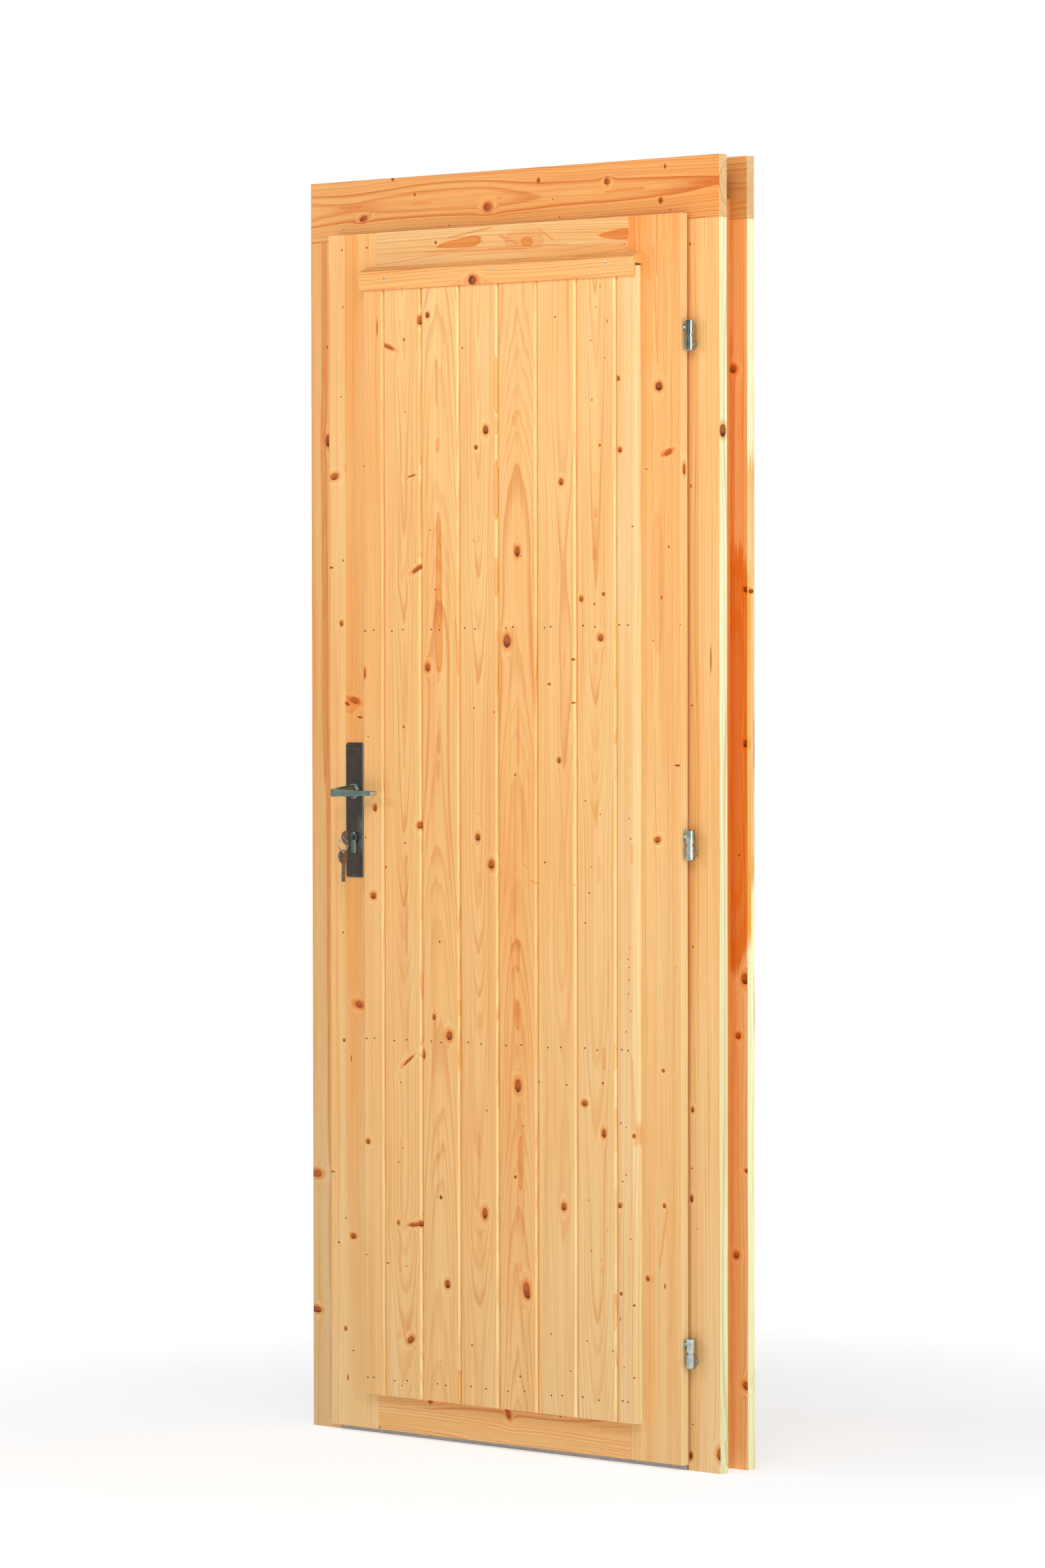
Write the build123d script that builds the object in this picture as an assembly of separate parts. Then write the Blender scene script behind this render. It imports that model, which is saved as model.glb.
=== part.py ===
from build123d import *
import math
import os

# Boarded pine door of a log-built garden house, hung in the frame that grips the wall logs.
# Sizes are in millimetres. +X points to the hinge side, the outside looks to -Y and +Z is up.
# The origin is the middle of the frame's footprint, on the underside of the sill.

# Frame
frame_width = 876.0
frame_height = 1950.0
wall_log = 44.0
casing_face = 66.0
head_face = 93.0
casing_thickness = 16.0
casing_arris = 1.5
core_thickness = 31.0
sill_height = 24.0
sheet_thickness = 1.5
sheet_end_gap = 1.0
sheet_bend = 1.35

# Leaf
leaf_thickness = 40.0
lip_thickness = 14.0
lip_lap_side = 5.5
lip_lap_top = 8.0
lip_floor_gap = 9.0
lip_gap = 5.0
side_gap = 6.0
top_gap = 5.0
bottom_gap = 5.0
stile_width = 107.0
rail_height = 110.0
upper_rail_centre = 1244.0
lower_rail_centre = 613.0
leaf_arris = 1.0
tenon_length = 30.0
tenon_thickness = 13.0
tenon_shoulder = 25.0
tenon_play = 0.3

# Tongue-and-groove boards
board_thickness = 15.0
first_board_cover = 46.7
last_board_cover = 37.7
whole_boards = 6
board_lap_lock_side = 17.0
board_lap_hinge_side = 25.0
board_bottom = 65.0
board_top_gap = 3.0
joint_chamfer = 3.5
tongue_thickness = 4.5
tongue_length = 6.0
tongue_setback = 5.5
tongue_play = 0.4

# Drip bar over the tops of the boards
bar_face = 29.0
bar_cover = 4.0
bar_slope = 8.0
bar_overhang = 3.0
bar_rebate = 19.0
bar_from_top = 53.0
bar_arris = 1.5

# Drill-in barrel hinges
barrel_radius = 7.0
knuckle_height = 20.5
neck_radius = 5.0
neck_height = 4.0
knuckle_play = 0.2
pin_radius = 3.0
pin_play = 0.05
pin_rise = 15.0
pin_end_gap = 1.0
hinge_bolt_radius = 4.0
leaf_bolt_grip = 35.0
frame_bolt_grip = 40.0
barrel_chamfer = 1.0
hinge_side_gap = 5.0
hinge_from_top = 181.0
hinge_from_bottom = 167.0
drill_play = 0.1

# Lock, backplates and levers
lever_height = 1000.0
cylinder_drop = 72.0
lock_backset = 46.0
case_depth = 70.0
case_height = 165.0
case_thickness = 14.0
case_above_lever = 58.0
case_play = 0.5
faceplate_thickness = 3.0
faceplate_width = 20.0
faceplate_height = 235.0
bolt_opening_depth = 1.0
latch_height = 26.0
dead_bolt_height = 32.0
bolt_width = 12.0
strike_thickness = 2.0
strike_height = 170.0
strike_margin = 4.0
strike_pocket_depth = 14.0
backplate_width = 38.0
backplate_height = 210.0
backplate_thickness = 2.0
backplate_above_lever = 75.5
backplate_corner = 5.0
backplate_bevel = 0.8
collar_radius = 11.0
collar_height = 5.0
shank_radius = 7.0
shank_play = 0.05
spindle_side = 8.0
spindle_play = 0.05
follower_play = 0.2
spindle_socket = 16.0
spindle_end_gap = 1.0
spindle_bore_radius = 10.0
neck_base_radius = 10.0
neck_tip_radius = 6.6
lever_gap = 0.3
lever_reach = 44.0
lever_heel = 8.0
lever_length = 82.0
grip_depth = 14.6
grip_drop = 2.0
grip_heel_height = 12.8
grip_tip_height = 6.4
grip_rounding = 2.0
grip_front_rounding = 1.5

# Profile cylinder, keys and ring
cylinder_radius = 8.5
cylinder_web = 10.0
cylinder_height = 33.0
cylinder_rise = 2.5
cylinder_play = 0.4
plug_radius = 6.5
plug_length = 28.0
plug_end_gap = 1.0
inside_keyway_depth = 2.0
plug_play = 0.05
key_bow_radius = 11.0
key_bow_gap = 3.5
key_thickness = 2.2
key_hole_radius = 2.0
key_hole_rim = 2.0
key_blade_width = 8.0
key_blade_length = 28.0
key_play = 0.1
key_cut_depth = 2.2
key_cut_pitch = 5.0
key_cut_count = 4
ring_radius = 10.2
ring_wire = 0.8
ring_play = 0.1
ring_sides = 8

# Two places closer than the tolerance are one plane; a cutting shape runs past its face by the overcut
plane_tolerance = 0.01
overcut = 1.0

# Places in the frame
half_width = frame_width / 2
front_face = -(wall_log / 2 + casing_thickness)
back_face = -front_face
opening_half = half_width - casing_face
core_outer = opening_half + core_thickness
head_underside = frame_height - head_face
core_top = head_underside + core_thickness
sheet_top = sill_height + sheet_thickness

# Places in the leaf
lip_back = front_face - lip_gap
leaf_front = lip_back - lip_thickness
leaf_back = leaf_front + leaf_thickness
lip_half = opening_half + lip_lap_side
body_half = opening_half - side_gap
lip_top = head_underside + lip_lap_top
lip_bottom = lip_floor_gap
body_top = head_underside - top_gap
body_bottom = sheet_top + bottom_gap
stile_inner = lip_half - stile_width
body_middle = (lip_back + leaf_back) / 2
bar_top = lip_top - bar_from_top
bar_rebate_top = bar_top - bar_slope - bar_face + bar_rebate
board_front = leaf_front - board_thickness
board_top = bar_rebate_top - board_top_gap
field_left = -(stile_inner + board_lap_lock_side)
field_right = stile_inner + board_lap_hinge_side

# Places of the hinges and the lock
hinge_x = lip_half + hinge_side_gap + barrel_radius
hinge_y = lip_back - lip_thickness / 2
hinge_top_z = lip_top - hinge_from_top
hinge_bottom_z = lip_bottom + hinge_from_bottom
hinge_heights = {
    "top": hinge_top_z,
    "middle": (hinge_top_z + hinge_bottom_z) / 2,
    "bottom": hinge_bottom_z,
}
lock_x = lock_backset - body_half
cylinder_z = lever_height - cylinder_drop
case_top = lever_height + case_above_lever
case_back_x = -body_half + faceplate_thickness + case_depth
plate_middle_z = lever_height + backplate_above_lever - backplate_height / 2
outside_plate_face = leaf_front - backplate_thickness
inside_plate_face = leaf_back + backplate_thickness
key_face = outside_plate_face - cylinder_rise
key_bow_y = key_face - key_bow_gap - key_bow_radius
key_hole_offset = key_bow_radius - key_hole_rim - key_hole_radius
ring_y = key_bow_y - key_hole_offset
ring_drop = key_hole_radius - ring_wire - ring_play
ring_top_z = cylinder_z - ring_drop
ring_bottom_z = ring_top_z - 2 * ring_radius
spare_hole_z = ring_bottom_z - ring_drop


def block(x_low, x_high, y_low, y_high, z_low, z_high):
    """Straight timber between two corners."""
    middle = Pos((x_low + x_high) / 2, (y_low + y_high) / 2, (z_low + z_high) / 2)
    return middle * Box(x_high - x_low, y_high - y_low, z_high - z_low)


def round_bar(start, direction, radius, length):
    """Round bar that leaves start along direction."""
    return Plane(origin=start, z_dir=direction) * Pos(0, 0, length / 2) * Cylinder(radius, length)


def across(points, x_low, x_high):
    """Section given as (y, z) points, run along X."""
    corners = [(x_low, y, z) for y, z in points]
    face = make_face(Polyline(*corners, close=True))
    return extrude(face, x_high - x_low, dir=(1, 0, 0))


def upright(points, z_low, z_high):
    """Section given as (x, y) points, run upwards."""
    corners = [(x, y, z_low) for x, y in points]
    face = make_face(Polyline(*corners, close=True))
    return extrude(face, z_high - z_low, dir=(0, 0, 1))


def through_wall(sketch, x, z, y_low, y_high):
    """Sketch drawn as seen from the outside, run along Y."""
    plane = Plane(origin=(x, y_low, z), x_dir=(1, 0, 0), z_dir=(0, -1, 0))
    return extrude(plane * sketch, y_low - y_high)


def edges_at(shape, axis, place):
    """Edges that lie in the plane across an axis, at a place along it."""
    return shape.edges().filter_by_position(axis, place - plane_tolerance, place + plane_tolerance)


def side_name(side):
    return "left" if side < 0 else "right"


def side_casing(side, face_y, seat_y):
    x_low, x_high = sorted((side * opening_half, side * half_width))
    y_low, y_high = sorted((face_y, seat_y))
    board = block(x_low, x_high, y_low, y_high, 0, head_underside)
    return fillet(edges_at(board, Axis.Y, face_y).filter_by(Axis.Z), casing_arris)


def head_casing(face_y, seat_y):
    y_low, y_high = sorted((face_y, seat_y))
    board = block(-half_width, half_width, y_low, y_high, head_underside, frame_height)
    return fillet(edges_at(board, Axis.Y, face_y), casing_arris)


def jamb_core(side):
    x_low, x_high = sorted((side * opening_half, side * core_outer))
    return block(x_low, x_high, -wall_log / 2, wall_log / 2, sill_height, head_underside)


def head_core():
    return block(-core_outer, core_outer, -wall_log / 2, wall_log / 2, head_underside, core_top)


def sill():
    """Bottom timber: its ends run out under the cores, its edges stop between the casings."""
    inner = Rectangle(2 * core_outer, wall_log)
    front = front_face + sheet_thickness
    outer = Pos(0, (front + back_face) / 2) * Rectangle(2 * opening_half, back_face - front)
    return extrude(inner + outer, sill_height)


def threshold_sheet():
    """Sheet folded over the front edge and the top of the sill."""
    inner_y = front_face + sheet_thickness
    section = [
        (front_face, 0),
        (inner_y, 0),
        (inner_y, sill_height),
        (back_face, sill_height),
        (back_face, sheet_top),
        (front_face, sheet_top),
    ]
    half = opening_half - sheet_end_gap
    sheet = across(section, -half, half)
    top_edges = edges_at(sheet, Axis.Z, sheet_top)
    fold = top_edges.filter_by_position(Axis.Y, front_face - plane_tolerance, front_face + plane_tolerance)
    return fillet(fold, sheet_bend)


def stile_body(side):
    """Upright with the lip at the front and the narrower body behind it."""
    section = [
        (side * stile_inner, leaf_front),
        (side * lip_half, leaf_front),
        (side * lip_half, lip_back),
        (side * body_half, lip_back),
        (side * body_half, leaf_back),
        (side * stile_inner, leaf_back),
    ]
    stile = upright(section, lip_bottom, lip_top)
    reach = lip_half + overcut
    for z_low, z_high in ((lip_bottom - overcut, body_bottom), (body_top, lip_top + overcut)):
        stile -= block(-reach, reach, lip_back, leaf_back + overcut, z_low, z_high)
    lip_edge = edges_at(stile, Axis.X, side * lip_half)
    arris = lip_edge.filter_by_position(Axis.Y, leaf_front - plane_tolerance, leaf_front + plane_tolerance)
    return fillet(arris, leaf_arris)


def rail_bands():
    """Lower and upper edge of each rail in the plane of the lip."""
    return {
        "top_rail": (lip_top - rail_height, lip_top),
        "upper_middle_rail": (upper_rail_centre - rail_height / 2, upper_rail_centre + rail_height / 2),
        "lower_middle_rail": (lower_rail_centre - rail_height / 2, lower_rail_centre + rail_height / 2),
        "bottom_rail": (lip_bottom, lip_bottom + rail_height),
    }


def tenon_band(z_low, z_high):
    """Heights of a tenon, inside the thick part of its rail."""
    return max(z_low, body_bottom) + tenon_shoulder, min(z_high, body_top) - tenon_shoulder


def rail(z_low, z_high):
    section = [(leaf_front, z_low), (leaf_front, z_high)]
    if z_high > body_top:
        section += [(lip_back, z_high), (lip_back, body_top), (leaf_back, body_top)]
    else:
        section += [(leaf_back, z_high)]
    if z_low < body_bottom:
        section += [(leaf_back, body_bottom), (lip_back, body_bottom), (lip_back, z_low)]
    else:
        section += [(leaf_back, z_low)]
    timber = across(section, -stile_inner, stile_inner)
    tenon_low, tenon_high = tenon_band(z_low, z_high)
    reach = stile_inner + tenon_length
    y_low, y_high = body_middle - tenon_thickness / 2, body_middle + tenon_thickness / 2
    return timber + block(-reach, reach, y_low, y_high, tenon_low, tenon_high)


def mortices(side):
    """Holes in a stile for the tenons of all rails."""
    reach = stile_inner + tenon_length + tenon_play
    half = tenon_thickness / 2 + tenon_play
    x_low, x_high = sorted((side * (stile_inner - overcut), side * reach))
    holes = []
    for z_low, z_high in rail_bands().values():
        tenon_low, tenon_high = tenon_band(z_low, z_high)
        holes.append(
            block(x_low, x_high, body_middle - half, body_middle + half,
                  tenon_low - tenon_play, tenon_high + tenon_play)
        )
    return holes


def profile_outline(play):
    """Outline of the lock cylinder: a round head over a narrower web."""
    web_end = cylinder_radius - cylinder_height
    web = Pos(0, (web_end - play) / 2) * Rectangle(cylinder_web + 2 * play, play - web_end)
    outline = Circle(cylinder_radius + play) + web
    return outline


def lock_recess():
    """Everything cut out of the lock stile for the lock and its spindle."""
    half = case_thickness / 2 + case_play
    case = block(-body_half, case_back_x + case_play, body_middle - half, body_middle + half,
                 case_top - case_height - case_play, case_top + case_play)
    face_half = faceplate_height / 2
    face = block(-body_half - overcut, -body_half + faceplate_thickness,
                 body_middle - faceplate_width / 2, body_middle + faceplate_width / 2,
                 plate_middle_z - face_half, plate_middle_z + face_half)
    y_low, y_high = leaf_front - overcut, leaf_back + overcut
    bore = through_wall(Circle(spindle_bore_radius), lock_x, lever_height, y_low, y_high)
    slot = through_wall(profile_outline(cylinder_play), lock_x, cylinder_z, y_low, y_high)
    return [case, face, bore, slot]


def lock_stile():
    stile = stile_body(-1)
    for hole in mortices(-1) + lock_recess():
        stile -= hole
    return stile


def hinge_stile():
    stile = stile_body(1)
    for hole in mortices(1):
        stile -= hole
    for z in hinge_heights.values():
        start = (lip_half + overcut, hinge_y, upper_knuckle_middle(z))
        depth = overcut + leaf_bolt_grip + drill_play
        stile -= round_bar(start, (-1, 0, 0), hinge_bolt_radius + drill_play, depth)
    return stile


def board_edges():
    """X of every joint between boards, from the lock side, with the field's two edges."""
    first = field_left + first_board_cover
    cover = (field_right - last_board_cover - first) / whole_boards
    return [field_left] + [first + cover * index for index in range(whole_boards + 1)] + [field_right]


def board(left, right, has_groove, has_tongue):
    """Board with a V joint: groove to the lock side, tongue to the hinge side."""
    tongue_front = board_front + tongue_setback
    tongue_back = tongue_front + tongue_thickness
    section = [(left, board_front + joint_chamfer), (left + joint_chamfer, board_front)]
    section += [(right - joint_chamfer, board_front), (right, board_front + joint_chamfer)]
    if has_tongue:
        section += [(right, tongue_front), (right + tongue_length, tongue_front)]
        section += [(right + tongue_length, tongue_back), (right, tongue_back)]
    section += [(right, leaf_front), (left, leaf_front)]
    if has_groove:
        bottom = left + tongue_length + tongue_play
        section += [(left, tongue_back + tongue_play), (bottom, tongue_back + tongue_play)]
        section += [(bottom, tongue_front - tongue_play), (left, tongue_front - tongue_play)]
    return upright(section, board_bottom, board_top)


def drip_bar():
    """Weather bar with a rebate that covers the tops of the boards."""
    front = board_front - bar_cover
    face_top = bar_top - bar_slope
    section = [
        (front, face_top - bar_face),
        (front, face_top),
        (leaf_front, bar_top),
        (leaf_front, bar_rebate_top),
        (board_front, bar_rebate_top),
        (board_front, face_top - bar_face),
    ]
    bar = across(section, field_left - bar_overhang, field_right + bar_overhang)
    return fillet(edges_at(bar, Axis.Y, front), bar_arris)


def upper_knuckle_middle(z):
    return z + neck_height / 2 + knuckle_height / 2


def lower_knuckle_middle(z):
    return z - neck_height / 2 - knuckle_height / 2


def knuckle(z_middle, outer_end):
    barrel = Pos(hinge_x, hinge_y, z_middle) * Cylinder(barrel_radius, knuckle_height)
    rim = edges_at(barrel, Axis.Z, z_middle + outer_end * knuckle_height / 2)
    return chamfer(rim, barrel_chamfer)


def frame_hinge(z):
    """Lower half: knuckle, neck and pin, with a bolt that runs back through the casing into its core."""
    middle = lower_knuckle_middle(z)
    half = knuckle(middle, -1)
    neck_low = z - neck_height / 2
    half += round_bar((hinge_x, hinge_y, neck_low), (0, 0, 1), neck_radius, neck_height - knuckle_play)
    half += round_bar((hinge_x, hinge_y, neck_low), (0, 0, 1), pin_radius, neck_height + pin_rise)
    reach = front_face - hinge_y + frame_bolt_grip
    return half + round_bar((hinge_x, hinge_y, middle), (0, 1, 0), hinge_bolt_radius, reach)


def frame_hinge_bore(z):
    start = (hinge_x, hinge_y, lower_knuckle_middle(z))
    length = front_face - hinge_y + frame_bolt_grip + drill_play
    return round_bar(start, (0, 1, 0), hinge_bolt_radius + drill_play, length)


def leaf_hinge(z):
    """Upper half: bored knuckle with a bolt that runs straight into the lip."""
    middle = upper_knuckle_middle(z)
    half = knuckle(middle, 1)
    reach = hinge_x - lip_half + leaf_bolt_grip
    half += round_bar((hinge_x, hinge_y, middle), (-1, 0, 0), hinge_bolt_radius, reach)
    bore_low = z + neck_height / 2
    bore_length = pin_rise + pin_end_gap
    return half - round_bar((hinge_x, hinge_y, bore_low), (0, 0, 1), pin_radius + pin_play, bore_length)


def lock_case():
    """Mortice lock with its faceplate; latch and dead bolt are drawn back flush."""
    half = case_thickness / 2
    case = block(-body_half + faceplate_thickness, case_back_x, body_middle - half, body_middle + half,
                 case_top - case_height, case_top)
    face_half = faceplate_height / 2
    case += block(-body_half, -body_half + faceplate_thickness,
                  body_middle - faceplate_width / 2, body_middle + faceplate_width / 2,
                  plate_middle_z - face_half, plate_middle_z + face_half)
    for z, height in ((lever_height, latch_height), (cylinder_z, dead_bolt_height)):
        case -= block(-body_half - overcut, -body_half + bolt_opening_depth,
                      body_middle - bolt_width / 2, body_middle + bolt_width / 2,
                      z - height / 2, z + height / 2)
    follower = spindle_side / math.sqrt(2) + follower_play
    y_low, y_high = body_middle - half - overcut, body_middle + half + overcut
    case -= through_wall(Circle(follower), lock_x, lever_height, y_low, y_high)
    return case - through_wall(profile_outline(cylinder_play), lock_x, cylinder_z, y_low, y_high)


def strike_band():
    """Sides of the strike plate: from the casing's face to behind the faceplate."""
    return front_face + casing_arris, body_middle + faceplate_width / 2 + strike_margin / 2


def strike_holes(depth):
    """Openings opposite the latch and the dead bolt."""
    holes = []
    for z, height in ((lever_height, latch_height), (cylinder_z, dead_bolt_height)):
        half = height / 2 + strike_margin / 2
        holes.append(
            block(-opening_half - depth, -opening_half + overcut,
                  body_middle - bolt_width / 2, body_middle + bolt_width / 2, z - half, z + half)
        )
    return holes


def strike_recess():
    y_low, y_high = strike_band()
    half = strike_height / 2
    middle = lever_height - cylinder_drop / 2
    seat = block(-opening_half - strike_thickness, -opening_half + overcut, y_low, y_high,
                 middle - half, middle + half)
    return [seat] + strike_holes(strike_pocket_depth)


def strike_plate():
    y_low, y_high = strike_band()
    half = strike_height / 2
    middle = lever_height - cylinder_drop / 2
    plate = block(-opening_half - strike_thickness, -opening_half, y_low, y_high, middle - half, middle + half)
    for hole in strike_holes(strike_thickness + overcut):
        plate -= hole
    return plate


def backplate(seat_y, outward):
    """Long plate with a raised collar round the lever's shank."""
    face_y = seat_y + outward * backplate_thickness
    collar_y = face_y + outward * collar_height
    outline = RectangleRounded(backplate_width, backplate_height, backplate_corner)
    plate = through_wall(outline, lock_x, plate_middle_z, *sorted((seat_y, face_y)))
    plate = chamfer(edges_at(plate, Axis.Y, face_y), backplate_bevel)
    collar = through_wall(Circle(collar_radius), lock_x, lever_height, *sorted((seat_y, collar_y)))
    plate += chamfer(edges_at(collar, Axis.Y, collar_y), backplate_bevel)
    low, high = sorted((seat_y - outward, collar_y + outward))
    plate -= through_wall(Circle(shank_radius + shank_play), lock_x, lever_height, low, high)
    return plate - through_wall(profile_outline(cylinder_play), lock_x, cylinder_z, low, high)


def lever(seat_y, outward):
    """Shank in the collar, a tapering neck and a flat grip that thins towards its tip."""
    plate_face = seat_y + outward * backplate_thickness
    neck_y = plate_face + outward * (collar_height + lever_gap)
    grip_outer = plate_face + outward * lever_reach
    grip_inner = grip_outer - outward * grip_depth
    shank_length = abs(neck_y - seat_y)
    shank = round_bar((lock_x, seat_y, lever_height), (0, outward, 0), shank_radius, shank_length)
    neck_length = abs(grip_outer - neck_y) - grip_depth / 2
    neck_plane = Plane(origin=(lock_x, neck_y, lever_height), z_dir=(0, outward, 0))
    neck = neck_plane * Pos(0, 0, neck_length / 2) * Cone(neck_base_radius, neck_tip_radius, neck_length)
    heel_x = lock_x - lever_heel
    tip_x = lock_x + lever_length
    grip_z = lever_height - grip_drop
    outline = [
        (heel_x, grip_z - grip_heel_height / 2),
        (heel_x, grip_z + grip_heel_height / 2),
        (tip_x, grip_z + grip_tip_height / 2),
        (tip_x, grip_z - grip_tip_height / 2),
    ]
    grip_low = min(grip_inner, grip_outer)
    face = make_face(Polyline(*[(x, grip_low, z) for x, z in outline], close=True))
    grip = extrude(face, grip_depth, dir=(0, 1, 0))
    grip = fillet(grip.edges().filter_by(Axis.Y), grip_rounding)
    grip = fillet(edges_at(grip, Axis.Y, grip_outer), grip_front_rounding)
    socket_side = spindle_side + 2 * spindle_play
    socket_middle = seat_y + outward * spindle_socket / 2
    socket = Pos(lock_x, socket_middle, lever_height) * Box(socket_side, spindle_socket, socket_side)
    return shank + neck + grip - socket


def spindle():
    low = leaf_front - spindle_socket + spindle_end_gap
    high = leaf_back + spindle_socket - spindle_end_gap
    half = spindle_side / 2
    return block(lock_x - half, lock_x + half, low, high, lever_height - half, lever_height + half)


def cylinder():
    """Lock cylinder through both plates; the plug's bore opens to the outside."""
    inside_end = inside_plate_face + cylinder_rise
    barrel = through_wall(profile_outline(0), lock_x, cylinder_z, key_face, inside_end)
    barrel -= through_wall(Circle(plug_radius + plug_play), lock_x, cylinder_z,
                           key_face, key_face + plug_length + plug_end_gap)
    keyway = Rectangle(key_thickness + 2 * key_play, key_blade_width + 2 * key_play)
    return barrel - through_wall(keyway, lock_x, cylinder_z, inside_end - inside_keyway_depth, inside_end)


def plug():
    """Round core of the cylinder, with a keyway open to the outside."""
    core = round_bar((lock_x, key_face, cylinder_z), (0, 1, 0), plug_radius, plug_length)
    keyway = Rectangle(key_thickness + 2 * key_play, key_blade_width + 2 * key_play)
    depth = key_blade_length - key_bow_gap + key_play
    return core - through_wall(keyway, lock_x, cylinder_z, key_face, key_face + depth)


def key_outline():
    """Flat key: round bow with a ring hole on its far side, and a blade with cuts."""
    blade_middle = key_bow_radius + key_blade_length / 2 - key_hole_rim / 2
    blade = Pos(blade_middle, 0) * Rectangle(key_blade_length + key_hole_rim, key_blade_width)
    tip_x = key_bow_radius + key_blade_length
    blade -= Pos(tip_x, key_blade_width / 2) * Rotation(0, 0, 45) * Rectangle(key_cut_depth, key_cut_depth)
    blade -= Pos(tip_x, -key_blade_width / 2) * Rotation(0, 0, 45) * Rectangle(key_cut_depth, key_cut_depth)
    for index in range(key_cut_count):
        cut_x = tip_x - key_cut_pitch * (index + 1)
        blade -= Pos(cut_x, key_blade_width / 2) * Rotation(0, 0, 45) * Rectangle(key_cut_depth, key_cut_depth)
    outline = Circle(key_bow_radius) + blade
    return outline - Pos(-key_hole_offset, 0) * Circle(key_hole_radius)


def flat_key(origin, blade_direction):
    """Key of even thickness that stands in a plane across X."""
    plane = Plane(origin=origin, x_dir=blade_direction, z_dir=(1, 0, 0))
    return extrude(plane * key_outline(), key_thickness / 2, both=True)


def lock_key():
    return flat_key((lock_x, key_bow_y, cylinder_z), (0, 1, 0))


def spare_key():
    bow_z = spare_hole_z - key_hole_offset
    return flat_key((lock_x, ring_y, bow_z), (0, 0, -1))


def key_ring():
    """Ring of round wire, turned from an eight-sided section."""
    centre = Plane(origin=(lock_x, ring_y, ring_top_z - ring_radius), x_dir=(1, 0, 0), z_dir=(0, 0, 1))
    section = Pos(ring_radius, 0) * RegularPolygon(ring_wire, ring_sides)
    return centre * revolve(section, Axis.Y)


def save(name, shape):
    export_step(shape, os.path.join("parts", name + ".step"))


def frame_pieces():
    pieces = {}
    for name, face_y, seat_y in (("front", front_face, -wall_log / 2), ("back", back_face, wall_log / 2)):
        for side in (-1, 1):
            pieces[f"{name}_casing_{side_name(side)}"] = side_casing(side, face_y, seat_y)
        pieces[f"{name}_casing_head"] = head_casing(face_y, seat_y)
    for side in (-1, 1):
        pieces[f"jamb_core_{side_name(side)}"] = jamb_core(side)
    for recess in strike_recess():
        pieces["front_casing_left"] -= recess
        pieces["jamb_core_left"] -= recess
    for z in hinge_heights.values():
        pieces["front_casing_right"] -= frame_hinge_bore(z)
        pieces["jamb_core_right"] -= frame_hinge_bore(z)
    pieces["head_core"] = head_core()
    pieces["sill"] = sill()
    pieces["threshold_sheet"] = threshold_sheet()
    pieces["strike_plate"] = strike_plate()
    for place, z in hinge_heights.items():
        pieces[f"hinge_frame_{place}"] = frame_hinge(z)
    return pieces


def leaf_pieces():
    pieces = {"stile_left": lock_stile(), "stile_right": hinge_stile()}
    for name, (z_low, z_high) in rail_bands().items():
        pieces[name] = rail(z_low, z_high)
    edges = board_edges()
    last = len(edges) - 2
    for index in range(last + 1):
        pieces[f"board_{index + 1}"] = board(edges[index], edges[index + 1], index > 0, index < last)
    pieces["drip_bar"] = drip_bar()
    for place, z in hinge_heights.items():
        pieces[f"hinge_leaf_{place}"] = leaf_hinge(z)
    pieces["lock_case"] = lock_case()
    pieces["lock_cylinder"] = cylinder()
    pieces["backplate_outside"] = backplate(leaf_front, -1)
    pieces["backplate_inside"] = backplate(leaf_back, 1)
    return pieces


def moving_pieces():
    return {
        "lever_outside": lever(leaf_front, -1),
        "lever_inside": lever(leaf_back, 1),
        "spindle": spindle(),
        "cylinder_plug": plug(),
        "lock_key": lock_key(),
        "key_ring": key_ring(),
        "spare_key": spare_key(),
    }


os.makedirs("parts", exist_ok=True)
for node, solid in {**frame_pieces(), **leaf_pieces(), **moving_pieces()}.items():
    save(node, solid)
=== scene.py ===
"""A boarded pine door in its frame: finishes, nails, screws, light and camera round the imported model."""

import math

import bpy
from mathutils import Euler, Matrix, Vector


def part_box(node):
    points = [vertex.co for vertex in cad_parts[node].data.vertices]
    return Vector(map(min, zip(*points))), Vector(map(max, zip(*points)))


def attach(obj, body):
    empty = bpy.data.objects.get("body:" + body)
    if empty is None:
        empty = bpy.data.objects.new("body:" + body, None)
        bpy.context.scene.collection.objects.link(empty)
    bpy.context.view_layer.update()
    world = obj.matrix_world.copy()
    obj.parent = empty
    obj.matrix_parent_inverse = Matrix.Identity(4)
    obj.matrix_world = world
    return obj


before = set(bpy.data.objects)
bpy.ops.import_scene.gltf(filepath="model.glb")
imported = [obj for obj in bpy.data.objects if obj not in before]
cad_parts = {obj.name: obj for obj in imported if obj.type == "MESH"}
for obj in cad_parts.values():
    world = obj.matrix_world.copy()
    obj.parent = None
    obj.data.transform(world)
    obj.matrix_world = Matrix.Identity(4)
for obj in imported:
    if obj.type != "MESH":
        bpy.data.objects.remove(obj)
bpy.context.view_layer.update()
scene = bpy.context.scene
mm = 0.001

# Wood colours, as light reflected
pale_wood = (0.820, 0.580, 0.290, 1.0)
sapwood = (0.820, 0.515, 0.212, 1.0)
heartwood = (0.820, 0.445, 0.160, 1.0)
deepwood = (0.800, 0.345, 0.085, 1.0)
red_wood = (0.790, 0.170, 0.018, 1.0)
sawn_sap = (0.800, 0.820, 0.520, 1.0)
late_wood = (0.770, 0.450, 0.230, 1.0)
streak_tint = (0.960, 0.800, 0.630, 1.0)
hair_tint = (0.860, 0.700, 0.560, 1.0)
amber_tint = (0.880, 0.450, 0.120, 1.0)
halo_tint = (0.950, 0.620, 0.340, 1.0)
pale_tint = (1.060, 1.100, 1.150, 1.0)
# The next two paint light onto the V joints: shade down and after each groove, and a highlight on the flank
# that faces the lamps.
groove_shade_tint = (0.860, 0.620, 0.400, 1.0)
flank_highlight_tint = (1.150, 1.340, 1.420, 1.0)
knot_red = (0.440, 0.085, 0.006, 1.0)
knot_dark = (0.100, 0.018, 0.004, 1.0)


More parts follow.
